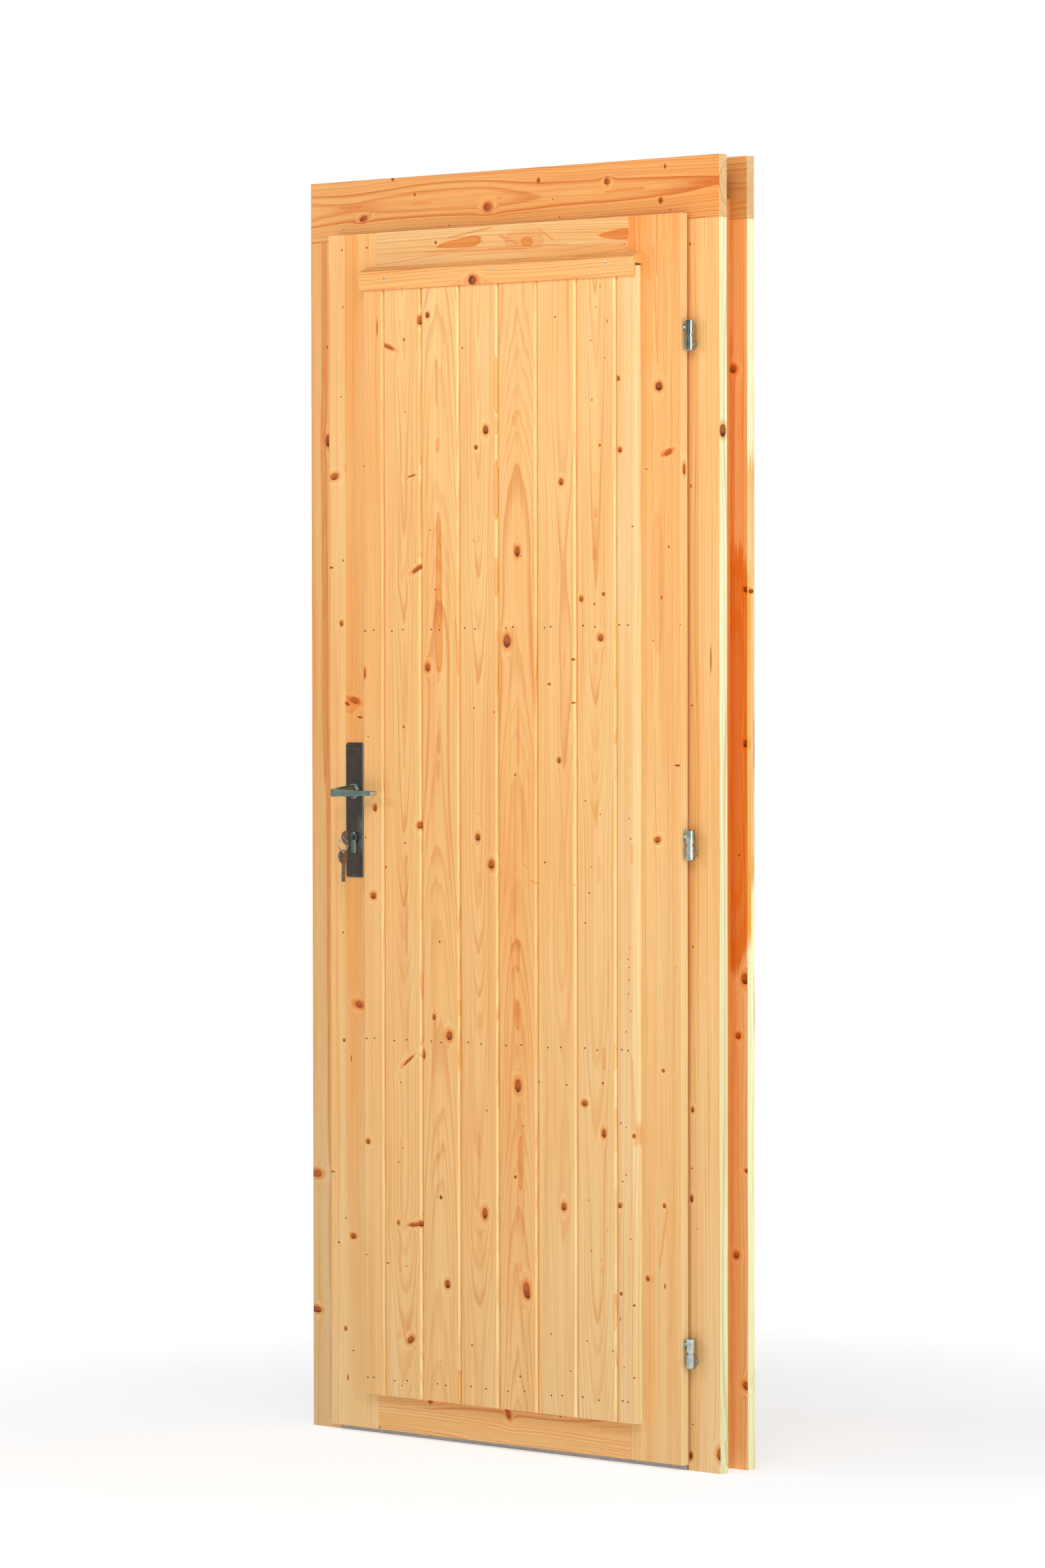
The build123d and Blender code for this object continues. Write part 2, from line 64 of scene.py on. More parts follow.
# Helpers for materials

def fill(made, sockets):
    """Fills a node's sockets with values or with other nodes' outputs."""
    for socket, value in sockets.items():
        if isinstance(value, bpy.types.NodeSocket):
            made.id_data.links.new(value, made.inputs[socket])
        else:
            made.inputs[socket].default_value = value


def put(kind, sockets, tree=None, **settings):
    """Adds a node to a tree, sets its options and fills its sockets. The tree is the one whose outputs feed
    the node, and is given only where none do."""
    feeds = [value for value in sockets.values() if isinstance(value, bpy.types.NodeSocket)]
    tree = tree or feeds[0].id_data
    made = tree.nodes.new("ShaderNode" + kind)
    for name, value in settings.items():
        setattr(made, name, value)
    fill(made, sockets)
    return made


def maths(operation, *values):
    return put("Math", dict(enumerate(values)), operation=operation).outputs[0]


def times(first, second):
    return maths("MULTIPLY", first, second)


def plus(first, second):
    return maths("ADD", first, second)


def minus(first, second):
    return maths("SUBTRACT", first, second)


def times_plus(first, second, third):
    """First times second, plus third."""
    return maths("MULTIPLY_ADD", first, second, third)


def larger(first, second):
    return maths("MAXIMUM", first, second)


def apart(place):
    """The X, Y and Z of a place."""
    return put("SeparateXYZ", {0: place}).outputs


def joined(x, y=0.0, z=0.0):
    return put("CombineXYZ", {0: x, 1: y, 2: z}).outputs[0]


def vectors(operation, *values):
    made = put("VectorMath", dict(enumerate(values)), operation=operation)
    return made.outputs["Value" if operation in ("LENGTH", "DOT_PRODUCT") else "Vector"]


def rise_between(value, start, end):
    """0 at start, 1 at end, and a smooth rise between."""
    sockets = {"Value": value, "From Min": start, "From Max": end}
    return put("MapRange", sockets, interpolation_type="SMOOTHSTEP").outputs[0]


def band(value, start, full, fade, end):
    """0 up to start, 1 from full to fade, and 0 again from end."""
    return times(rise_between(value, start, full), rise_between(value, end, fade))


def mixed(factor, first, second, blend="MIX"):
    sockets = {0: factor, 6: first, 7: second}
    return put("Mix", sockets, data_type="RGBA", blend_type=blend).outputs[2]


def noise(place, scale=1.0, detail=2.0, roughness=0.5):
    sockets = {"Vector": place, "Scale": scale, "Detail": detail, "Roughness": roughness}
    return put("TexNoise", sockets).outputs[0]


def noise_along(length, scale, detail=0.0):
    sockets = {"W": length, "Scale": scale, "Detail": detail}
    return put("TexNoise", sockets, noise_dimensions="1D").outputs[0]


def along_grain(place, wide, long, detail=1.0, roughness=0.5):
    """Noise stretched along the grain. Its size across and along is in mm."""
    squeezed = vectors("MULTIPLY", place, (1 / wide, 1 / wide, 1 / long))
    return noise(squeezed, 1.0, detail, roughness)


def new_group(name, inputs, outputs):
    """The sockets that carry an empty node group's inputs, and the node that takes its outputs."""
    group = bpy.data.node_groups.new(name, "ShaderNodeTree")
    for label, kind in inputs.items():
        group.interface.new_socket(label, in_out="INPUT", socket_type="NodeSocket" + kind)
    for label, kind in outputs.items():
        group.interface.new_socket(label, in_out="OUTPUT", socket_type="NodeSocket" + kind)
    return group.nodes.new("NodeGroupInput").outputs, group.nodes.new("NodeGroupOutput")


def use_group(group, sockets):
    return put("Group", sockets, node_tree=group).outputs


def new_material(name):
    """An empty material with a Principled shader, and its coordinates in millimetres."""
    material = bpy.data.materials.new(name)
    material.use_nodes = True
    tree = material.node_tree
    tree.nodes.clear()
    shader = put("BsdfPrincipled", {}, tree)
    put("OutputMaterial", {"Surface": shader.outputs[0]})
    place = put("TexCoord", {}, tree).outputs["Object"]
    scaled = put("Mapping", {"Vector": place, "Scale": (1000.0, 1000.0, 1000.0)}).outputs[0]
    return material, shader, scaled


def wear(material, *nodes):
    """Puts a material on CAD nodes."""
    for name in nodes:
        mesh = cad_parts[name].data
        mesh.materials.clear()
        mesh.materials.append(material)


# What pine is made of: growth rings round a pith, knots that push them aside, and amber stains

def ring_group():
    """Late wood from 0 to 1 where the growth rings of a trunk cross this place, and the radius there."""
    inputs = {"Place": "Vector", "Middle": "Float", "Pith": "Float", "Rise": "Float", "Ring": "Float",
              "Seed": "Float", "Wander": "Float"}
    given, ending = new_group("growth rings", inputs, {"Late": "Float", "Radius": "Float"})
    parts = apart(given["Place"])
    along = plus(parts[2], times(given["Seed"], 1731.0))
    sway = minus(noise_along(along, 1 / 420), 0.5)
    heave = minus(noise_along(plus(along, 977.0), 1 / 330), 0.5)
    middle = times_plus(sway, given["Wander"], given["Middle"])
    pith = times_plus(given["Rise"], times(parts[2], mm), given["Pith"])
    pith = times_plus(heave, given["Wander"], pith)
    across = minus(parts[0], middle)
    depth = minus(parts[1], pith)
    flat = joined(across, depth)
    radius = vectors("LENGTH", flat)
    seeded = vectors("ADD", vectors("MULTIPLY", given["Place"], (1 / 16, 1 / 16, 1 / 260)),
                     joined(given["Seed"], given["Seed"]))
    uneven = times_plus(noise(seeded, 1.0, 1.0), 2.6, radius)
    widths = noise_along(plus(uneven, times(given["Seed"], 37.0)), 1 / 11, 1.0)
    count = maths("DIVIDE", uneven, given["Ring"])
    count = times_plus(widths, 2.2, count)
    turn = maths("FRACT", count)
    year = plus(maths("FLOOR", count), given["Seed"])
    strength = put("TexWhiteNoise", {"W": year}, noise_dimensions="1D").outputs["Value"]
    strength = times_plus(maths("POWER", strength, 1.6), 0.7, 0.3)
    late = times(band(turn, 0.42, 0.90, 0.94, 1.0), strength)
    fill(ending, {"Late": late, "Radius": uneven})
    return ending.id_data


def knot_group():
    """One knot: how near this place is to it, in its own half-widths, and how it bends the grain."""
    inputs = {"Seen": "Vector", "Half width": "Float", "Lift": "Float", "Black": "Float",
              "Nearest": "Float", "Blackness": "Float", "Bend": "Vector"}
    outputs = {"Nearest": "Float", "Blackness": "Float", "Bend": "Vector"}
    given, ending = new_group("knot", inputs, outputs)
    reach = vectors("LENGTH", given["Seen"])
    nearest = maths("MINIMUM", given["Nearest"], reach)
    stretched = vectors("MULTIPLY", given["Seen"], (1.0, 0.0, 0.55))
    flow = vectors("DOT_PRODUCT", stretched, stretched)
    flow = maths("DIVIDE", 1.0, larger(flow, 1.0))
    parts = apart(given["Seen"])
    aside = times(times(parts[0], given["Half width"]), flow)
    lifted = times(times(flow, flow), given["Lift"])
    push = joined(times(aside, -1.0), lifted)
    below = times(parts[2], -1.0)
    crescent = times_plus(rise_between(below, -0.1, 0.75), 0.75, given["Black"])
    inside = times(rise_between(reach, 1.12, 0.92), crescent)
    fill(ending, {"Nearest": nearest, "Blackness": larger(given["Blackness"], inside),
                  "Bend": vectors("ADD", given["Bend"], push)})
    return ending.id_data


def stain_group():
    """An amber band along the grain: pointed ends, ragged sides, and wider at one end where it tapers."""
    inputs = {"Seen": "Vector", "Ragged": "Float", "Taper": "Float", "Strength": "Float", "Most": "Float"}
    given, ending = new_group("amber band", inputs, {"Most": "Float"})
    parts = apart(given["Seen"])
    along = times_plus(given["Ragged"], 0.35, parts[2])
    width = minus(1.0, times(along, given["Taper"]))
    across = maths("DIVIDE", parts[0], larger(width, 0.08))
    flat = joined(across, times(along, along))
    reach = times_plus(given["Ragged"], 0.35, vectors("LENGTH", flat))
    edge = band(reach, 0.62, 0.86, 0.90, 1.02)
    full = times_plus(edge, 0.55, times(rise_between(reach, 1.0, 0.70), 0.65))
    shade = times(full, given["Strength"])
    fill(ending, {"Most": larger(given["Most"], shade)})
    return ending.id_data


growth_rings = ring_group()
knot_nodes = knot_group()
amber_band = stain_group()
no_knot_near = 9.0
endless = 10000.0
frame_edge, longest_piece = 438.0, 1900.0


def seen_from(place, level, x, z, half_x, half_z, lean=0.0):
    """Places counted from a mark's middle, in its own half sizes. Lean is counter-clockwise, in degrees."""
    turn = math.radians(lean if level else -lean)
    if level:
        x, z, half_x, half_z = z, x, half_z, half_x
    sockets = {"Vector": place, "Location": (x, 0.0, z), "Rotation": Euler((0.0, turn, 0.0)),
               "Scale": (half_x, endless, half_z)}
    return put("Mapping", sockets, vector_type="TEXTURE").outputs[0]


def seen_on_side(place, y, z, half_y, half_z):
    """Places on a face across X, counted from a mark's middle in its own half sizes."""
    sockets = {"Vector": place, "Location": (0.0, y, z), "Scale": (endless, half_y, half_z)}
    seen = put("Mapping", sockets, vector_type="TEXTURE").outputs[0]
    parts = apart(seen)
    return joined(parts[1], z=parts[2])


def wood_colour(depth):
    """Pale wood at -1, sapwood at 0, heartwood at 1, deep orange at 2 and red orange at 3."""
    share = times_plus(depth, 0.25, 0.25)
    ramp = put("ValToRGB", {0: share})
    stops = ramp.color_ramp.elements
    stops[0].color = pale_wood
    stops[1].color = red_wood
    stops.new(0.25).color = sapwood
    stops.new(0.50).color = heartwood
    stops.new(0.75).color = deepwood
    return ramp.outputs[0]


def warmth_along(length, level, warm):
    """Depth of colour that passes through three values: at the low end, the middle and the high end."""
    low_end, high_end = (-frame_edge, frame_edge) if level else (0.0, longest_piece)
    middle = (low_end + high_end) / 2
    lower = put("MapRange", {"Value": length, "From Min": low_end, "From Max": middle,
                             "To Min": warm[0], "To Max": warm[1]}).outputs[0]
    upper = put("MapRange", {"Value": length, "From Min": middle, "From Max": high_end,
                             "To Min": 0.0, "To Max": warm[2] - warm[1]}).outputs[0]
    return plus(lower, upper)


def knots_in_grain(place, level, knots, pins):
    """How near the nearest knot or pin is, how black it is there, and how the knots bend the grain."""
    ragged = put("TexNoise", {"Vector": place, "Scale": 0.16, "Detail": 2.0}).outputs["Color"]
    ragged = vectors("MULTIPLY", vectors("SUBTRACT", ragged, (0.5, 0.5, 0.5)), (2.4, 0.0, 2.4))
    shaky = vectors("ADD", place, ragged)
    nearest, blackness, bend = no_knot_near, 0.0, (0.0, 0.0, 0.0)
    for x, z, half_x, half_z, black, *lean in knots:
        seen = seen_from(shaky, level, x, z, half_x, half_z, *lean)
        half_width = half_z if level else half_x
        sockets = {"Seen": seen, "Half width": half_width, "Lift": 0.9 * half_width, "Black": black,
                   "Nearest": nearest, "Blackness": blackness, "Bend": bend}
        found = use_group(knot_nodes, sockets)
        nearest, blackness, bend = found["Nearest"], found["Blackness"], found["Bend"]
    for x, z, half_x, *half_z in pins:
        seen = seen_from(place, level, x, z, half_x, *(half_z or [half_x]))
        reach = vectors("LENGTH", seen)
        nearest = maths("MINIMUM", nearest, times(reach, 1.15))
        blackness = larger(blackness, times(rise_between(reach, 1.2, 0.5), 0.8))
    return shaky, nearest, blackness, bend


def knots_on_side(shaky, on_side, side_knots, nearest, blackness):
    """Keeps the other knots off the sawn side face, and puts that face's own on it."""
    elsewhere = minus(1.0, on_side)
    nearest = times_plus(on_side, no_knot_near, nearest)
    blackness = times(blackness, elsewhere)
    for y, z, half_y, half_z, black in side_knots:
        seen = seen_on_side(shaky, y, z, half_y, half_z)
        sockets = {"Seen": seen, "Half width": half_y, "Lift": 0.0, "Black": black, "Nearest": no_knot_near}
        found = use_group(knot_nodes, sockets)
        near = times_plus(elsewhere, no_knot_near, found["Nearest"])
        nearest = maths("MINIMUM", nearest, near)
        blackness = larger(blackness, times(found["Blackness"], on_side))
    return nearest, blackness


def amber_in_grain(bent, level, ragged, stains):
    """How much amber the stains leave at this place, 0 to 1."""
    amber = 0.0
    for x, z, half_x, half_z, strength, *shape in stains:
        lean, taper = (*shape, 0.0, 0.0)[:2]
        seen = seen_from(bent, level, x, z, half_x, half_z, lean)
        sockets = {"Seen": seen, "Ragged": ragged, "Taper": taper, "Strength": strength, "Most": amber}
        amber = use_group(amber_band, sockets)["Most"]
    return amber


def amber_on_side(bent, on_side, ragged, side_stains, amber):
    """Adds the stains of the sawn side face to the amber that the others leave."""
    for y, z, half_y, half_z, strength in side_stains:
        seen = seen_on_side(bent, y, z, half_y, half_z)
        sockets = {"Seen": seen, "Ragged": ragged, "Strength": times(on_side, strength), "Most": amber}
        amber = use_group(amber_band, sockets)["Most"]
    return amber


def colour_grain(colour, moved, lines, rings, figure):
    """Broad streaks, narrower lines, fine hairs and the growth rings' late wood."""
    streaks = along_grain(moved, 13, 700, 3.0, 0.6)
    hairs = along_grain(moved, 1.3, 420)
    layers = ((rise_between(streaks, 0.42, 0.74), 0.8, streak_tint),
              (rise_between(lines, 0.5, 0.8), 0.6, streak_tint),
              (rise_between(hairs, 0.56, 0.70), 0.6, hair_tint),
              (rings["Late"], figure, late_wood))
    for shown, strength, tint in layers:
        colour = mixed(times(shown, strength), colour, tint, "MULTIPLY")
    return colour


def colour_knots(colour, nearest, blackness):
    """A pale ring and an orange halo round each knot, its red core with fine rings, and its black rim."""
    pale = band(nearest, 1.5, 2.2, 2.4, 3.4)
    colour = mixed(times(pale, 0.5), colour, pale_tint, "MULTIPLY")
    halo = rise_between(nearest, 2.1, 0.95)
    colour = mixed(halo, colour, halo_tint, "MULTIPLY")
    ripple = maths("SINE", times(nearest, 19.0))
    core = rise_between(times_plus(ripple, 0.04, nearest), 1.04, 0.86)
    core = times(core, times_plus(ripple, 0.10, 0.84))
    colour = mixed(core, colour, knot_red)
    rim = minus(1.0, maths("ABSOLUTE", minus(nearest, 0.88)))
    rim = maths("POWER", larger(rim, 0.0), 7.0)
    black = times(blackness, times_plus(rim, 0.35, 0.65))
    black = put("Clamp", {0: black}).outputs[0]
    return mixed(black, colour, knot_dark)


def colour_joints(colour, across, joints):
    """Each V joint: a painted highlight on the lit flank before its line, a line of painted shade down the
    groove, and a soft painted shade after it.
    """
    for x in joints:
        away = minus(across, x)
        # Painted highlight on the flank that faces the lamps.
        lit_flank = band(away, -5.3, -4.5, -0.6, 0.0)
        colour = mixed(lit_flank, colour, flank_highlight_tint, "MULTIPLY")
        # Painted shade down the groove.
        line = rise_between(maths("ABSOLUTE", away), 1.3, 0.5)
        colour = mixed(line, colour, groove_shade_tint, "MULTIPLY")
        # Painted shade after the joint, on the flank that faces away from the lamps.
        shade_beside = band(away, 0.0, 1.0, 2.0, 7.0)
        colour = mixed(times(shade_beside, 0.30), colour, groove_shade_tint, "MULTIPLY")
    return colour


def pine(node, middle, deep, seed, face=-72, rise=0, ring=3.0, wander=8, figure=0.64, heart=60,
         tone=1.0, warm=(0.0, 0.0, 0.0), level=False, glue=None, knots=(), pins=(), stains=(),
         body_of_knots=0, joints=(), side=None, side_knots=(), side_stains=(), stained_to=None):
    """Puts pine on a CAD node. All lengths are in mm.

    middle, deep, face: the middle of its figure, how deep its pith lies behind its face, and the face's Y
    rise: how much its pith moves away from its face for each metre of its length
    level: its length runs along X and not along Z
    ring, wander, figure: the width of a year's ring, how much the pith wanders, how strong late wood is
    heart, warm: the radius of its heartwood, and its depth of colour at its low end, middle and high end
    tone, seed: how bright it is, and which of many like figures it gets
    glue: the line where a second strip starts, and that strip's middle, depth and warmth
    body_of_knots: 1 or 2 if its knots bend the grain of the first or the second strip alone
    knots: x, z, half sizes, blackness and maybe lean; pins: x, z and half sizes, or one for both
    stains: x, z, half sizes, strength and maybe lean and taper; stained_to: the Y where they end
    joints: the X of its V joints
    side: the X of its sawn side face and how pale that is; its knots and stains count along Y and Z"""
    material, shader, place = new_material(node + " pine")
    x, y, z = apart(place)
    across, length = x, z
    if level:
        place, across, length = joined(z, y, x), z, x
    shaky, nearest, blackness, bend = knots_in_grain(place, level, knots, pins)
    on_side = 0.0
    if side:
        side_x, paleness = side
        on_side = maths("GREATER_THAN", x, side_x - 0.4)
        nearest, blackness = knots_on_side(shaky, on_side, side_knots, nearest, blackness)

    depth = face + deep
    climb = warmth_along(length, level, warm)
    if glue:
        line, second_middle, second_deep, second_warm = glue
        over = maths("GREATER_THAN", across, line)
        middle = times_plus(over, second_middle - middle, middle)
        depth = times_plus(over, second_deep - deep, depth)
        more = [ours - first for ours, first in zip(second_warm, warm)]
        climb = times_plus(over, warmth_along(length, level, more), climb)
        if body_of_knots:
            kept = over if body_of_knots == 2 else minus(1.0, over)
            bend = vectors("MULTIPLY", bend, joined(kept, kept))
    bent = vectors("ADD", place, bend)
    sockets = {"Place": bent, "Middle": middle, "Pith": depth, "Rise": rise, "Ring": ring, "Seed": seed,
               "Wander": wander}
    rings = use_group(growth_rings, sockets)

    moved = vectors("ADD", bent, (seed * 311.0, seed * 173.0, seed * 97.0))
    lines = along_grain(moved, 2.4, 260, 2.0, 0.6)
    clouds = along_grain(moved, 60, 330)
    fibres = along_grain(place, 0.7, 34, 2.0, 0.6)
    ragged = minus(lines, 0.5)
    amber = amber_in_grain(bent, level, ragged, stains)
    if stained_to is not None:
        amber = times(amber, maths("LESS_THAN", y, stained_to))
    amber = amber_on_side(bent, on_side, ragged, side_stains, amber)

    inner = rise_between(rings["Radius"], heart + 6, heart - 6)
    depth_of_colour = times_plus(inner, 0.38, climb)
    depth_of_colour = plus(depth_of_colour, times_plus(clouds, 1.3, -0.65))
    colour = wood_colour(depth_of_colour)
    if side:
        colour = mixed(times(on_side, paleness), colour, sawn_sap)
    colour = colour_grain(colour, moved, lines, rings, figure)
    colour = mixed(amber, colour, amber_tint, "MULTIPLY")
    if knots or pins or side_knots:
        colour = colour_knots(colour, nearest, blackness)
    if joints:
        colour = colour_joints(colour, x, joints)
    grey = times(times_plus(fibres, 0.20, 0.90), tone)
    colour = mixed(1.0, colour, joined(grey, grey, grey), "MULTIPLY")
    height = put("Bump", {"Strength": 0.25, "Distance": 0.0003, "Height": fibres}).outputs[0]
    rough = times_plus(fibres, 0.14, 0.46)
    fill(shader, {"Base Color": colour, "Roughness": rough, "Normal": height, "Specular IOR Level": 0.22})
    wear(material, node)


# Boards, from the lock side to the hinge side

# On several boards warm falls again at the high end; the paler tops there are partly the wood's own colour
# and partly a painted sheen.
pine("board_1", -335, 45, rise=6, ring=2.4, warm=(-0.5, 0.6, 1.3), joints=(-240.8,), seed=1,
     knots=[(-260, 975, 4, 4.5, 0.4), (-264, 839, 6, 5.5, 0.35), (-277, 457, 4.5, 4, 0.35),
         (-285, 1184, 5, 8, 0.3), (-289, 1250, 2.5, 5, 0.5)],
     pins=[(-253, 1717, 1.2, 13), (-283, 1504, 1.5), (-289, 1473, 1), (-275, 1085, 1.6, 1), (-281, 929, 1.4),
         (-286, 300, 1.6, 1.3), (-280, 281, 1.8, 1), (-286, 109, 1.8, 6), (-286, 69, 2, 5)])

pine("board_2", -195, 62, rise=-24, ring=2.6, heart=66, warm=(-0.8, 0.2, 0.0), joints=(-240.8, -157.7),
     seed=2,
     knots=[(-228, 1687, 13, 2.6, 0.1, -20), (-160, 1726, 4, 7, 0.2), (-178, 1487, 8, 1.3, 0.3, 14),
         (-166, 1344, 12, 3, 0.25, 28), (-161, 950, 6, 5, 0.3, 20), (-187, 587, 13, 2.2, 0.15, 35),
         (-161, 336, 5, 4.2, 0.45, 5), (-174, 334, 13, 2.6, 0.05, 5), (-183, 156, 8, 5, 0.25, 32),
         (-210, 335, 2.6, 3.4, 0.1)],
     pins=[(-194, 1697, 1.8, 2.6), (-192, 1586, 1.6, 1.1), (-196, 1101, 1.8, 2.4), (-193, 922, 1.8),
         (-236, 884, 1.4, 2.4), (-204, 552, 1.5, 1.2), (-199, 451, 1.8, 1), (-209, 429, 1.6, 1),
         (-234, 271, 4, 1), (-192, 269, 1.4, 1), (-203, 83, 1.4, 1.2)],
     stains=[(-192, 1190, 3.2, 42, 0.35), (-192, 1000, 2, 55, 0.3), (-191, 830, 3.4, 85, 0.7),
         (-204, 380, 2.6, 100, 0.4), (-205, 290, 3, 34, 0.55), (-205, 162, 3.5, 8, 0.5)])

pine("board_3", -120, 62, rise=26, ring=2.8, heart=64, warm=(-0.4, 0.7, 0.0), joints=(-157.7, -74.6), seed=3,
     knots=[(-142, 1733, 4, 4.4, 0.75), (-143, 1193, 5.5, 6.5, 0.2), (-130, 656, 3, 4, 0.5),
         (-97, 629, 6.5, 7, 0.3), (-102, 247, 5.5, 6, 0.5), (-116, 380, 2.6, 2.6, 0.9),
         (-153, 598, 3, 6.5, 0.2)],
     pins=[(-137, 1403, 1.3, 1.1), (-126, 1312, 1.6), (-118, 772, 1.9), (-117, 128, 1, 0.8)],
     stains=[(-123, 1630, 3, 38, 0.6), (-118, 1565, 1.5, 42, 0.5, 2), (-121, 1532, 4, 12, 0.75),
         (-119, 1385, 5.5, 45, 0.9), (-118.5, 1320, 6.5, 75, 1.0), (-119.5, 1250, 9, 70, 0.95),
         (-121, 1180, 4, 12, 0.5), (-119, 1078, 3.6, 18, 0.5), (-120, 1035, 4, 14, 0.4),
         (-136, 430, 1.8, 45, 0.35), (-122, 430, 2.4, 55, 0.4), (-77, 90, 4, 26, 0.9),
         (-80, 1225, 2.4, 45, 0.6, 3), (-77, 672, 4, 12, 0.6), (-77, 590, 3.4, 12, 0.4)])

pine("board_4", -33, 58, rise=-28, ring=2.7, heart=62, warm=(-0.7, 0.3, -0.5), joints=(-74.6, 8.5), seed=4,
     knots=[(-16, 1554, 5.5, 6.5, 0.55), (-37, 1528, 3.6, 3.2, 0.7), (-34.5, 934, 4.6, 5.2, 0.6),
         (-5.5, 893, 6.5, 6.5, 0.25), (-20.5, 361, 5.6, 8.5, 0.25)],
     pins=[(-66.5, 1680, 1.6, 1.7), (-42, 1131, 1.5, 1.7), (1, 1125, 1.8, 1.4), (-16, 518, 1.6, 1.5),
         (-49, 157, 1.8)],
     stains=[(-48, 1690, 1.6, 70, 0.35), (-41, 1385, 1.5, 6, 0.5, 70), (-36, 1345, 1.8, 42, 0.4),
         (5, 1620, 2.6, 45, 0.75), (4, 1560, 2.4, 14, 0.7), (5, 1460, 4, 45, 0.85), (5, 1330, 3, 30, 0.8),
         (6, 1200, 2.2, 50, 0.45), (-33, 970, 1.4, 5, 0.4, 70), (-31, 868, 4, 12, 0.3),
         (-31, 655, 4.5, 14, 0.45), (-32, 430, 2.6, 60, 0.5), (-31, 318, 5, 20, 0.3), (7, 580, 1.6, 60, 0.4),
         (7, 380, 1.8, 8, 0.5)])

pine("board_5", 51, 60, rise=30, ring=2.7, heart=62, warm=(0.0, 1.1, 0.2), joints=(8.5, 91.6), seed=5,
     knots=[(51, 1369, 5.6, 8, 0.35), (29, 1233, 8, 10, 0.3), (51, 559, 6.6, 10, 0.3),
         (70, 244, 6.5, 7, 0.35), (68, 252, 7, 10, 0.0), (45, 420, 2.4, 2.2, 0.9)],
     pins=[(59.5, 1361, 1.3, 1), (46, 1030, 1.8), (45, 1019, 1.2, 0.8), (62, 498, 1.5, 1.2),
         (54.5, 117.5, 1.9, 1.8)],
     stains=[(45, 1566, 4.6, 8, 0.5), (52, 1088, 3, 46, 0.6), (45, 955, 2.4, 60, 0.5),
         (61, 960, 2.2, 60, 0.5, 2), (84, 869, 1.8, 9, 0.7, 70), (67, 893, 1.6, 8, 0.4, 55),
         (15, 879, 1.4, 5, 0.4, 50), (45, 840, 3, 70, 0.55), (41, 720, 2.6, 70, 0.45, 3),
         (51.5, 757, 4, 26, 0.75), (50, 665, 4.2, 23, 0.75), (49, 612, 3.5, 12, 0.4),
         (56, 440, 5.5, 42, 0.75), (62, 370, 2, 40, 0.45), (51, 370, 2, 40, 0.4), (88, 1220, 2, 50, 0.4),
         (56, 283, 6, 8, 0.3)])

pine("board_6", 150, 64, rise=-8, heart=58, warm=(-0.7, 0.4, 0.1), joints=(91.6, 174.7), seed=6,
     knots=[(144, 1472, 4.5, 5, 0.3), (139, 1053, 3.6, 4, 0.35), (148, 381, 5, 6, 0.3),
         (118.5, 1168, 2.6, 1.8, 0.5)],
     pins=[(132, 1720, 1.6, 1.8), (169, 1205, 3.4, 2), (169, 1140, 3.6, 1.5), (109, 899, 2, 1.5),
         (96, 567, 1.9, 1.2), (154, 565, 2.2, 1.3), (120.5, 187, 1.6, 1.4), (161.5, 134, 1.4, 1.2)],
     stains=[(150, 1205, 2, 14, 0.35), (145, 1150, 1.4, 40, 0.3), (169, 866, 3.2, 1.2, 0.7)])

pine("board_7", 217, 60, rise=-22, warm=(-1.0, -0.2, -0.1), joints=(174.7, 257.8), seed=7,
     knots=[(186, 1296, 4, 4, 0.1), (226.5, 1238, 6, 5.5, 0.15), (191.5, 539, 6, 4, 0.2),
         (232, 496, 4.6, 6, 0.35), (225.5, 1525, 2.2, 2, 0.3), (232.5, 1303, 3, 2.5, 0.4)],
     pins=[(226, 1762, 1.3, 1.2), (217.5, 1732, 1.2, 1), (241, 1710, 1, 2.4), (206.5, 1682, 1.4, 1.1),
         (236, 1655, 1.4, 1), (209, 1593, 1.5, 1.4), (213.5, 1288, 1.8), (194, 993, 1.4, 1.2),
         (225, 973.5, 1.3), (176, 914, 1.6, 3.6), (207, 894, 1.4, 1), (202.5, 855, 1.6),
         (193.5, 810, 1.7, 1.3), (230, 571, 2), (204.5, 318, 1.5, 1.3), (200, 394, 1.4, 1),
         (196, 182, 1.8, 1), (250, 171, 1.6, 1.2), (239.5, 351.5, 1.2, 0.8)],
     stains=[(214, 1478, 4, 8, 0.25), (216.5, 1424, 4, 8, 0.45), (214, 1362, 5, 10, 0.4),
         (212, 1176, 4, 8, 0.3), (217, 975, 4, 20, 0.4), (222, 890, 3.4, 22, 0.35), (231, 608, 5, 18, 0.5),
         (226, 307, 2.6, 2.4, 0.5), (228, 291, 5, 6, 0.3), (254, 1080, 1.6, 200, 0.35),
         (254, 610, 3, 20, 0.45), (254, 500, 3, 34, 0.4), (254, 360, 2.6, 60, 0.4), (254, 230, 3, 30, 0.55),
         (241, 700, 1.6, 60, 0.45), (254, 1640, 1.4, 90, 0.35)])

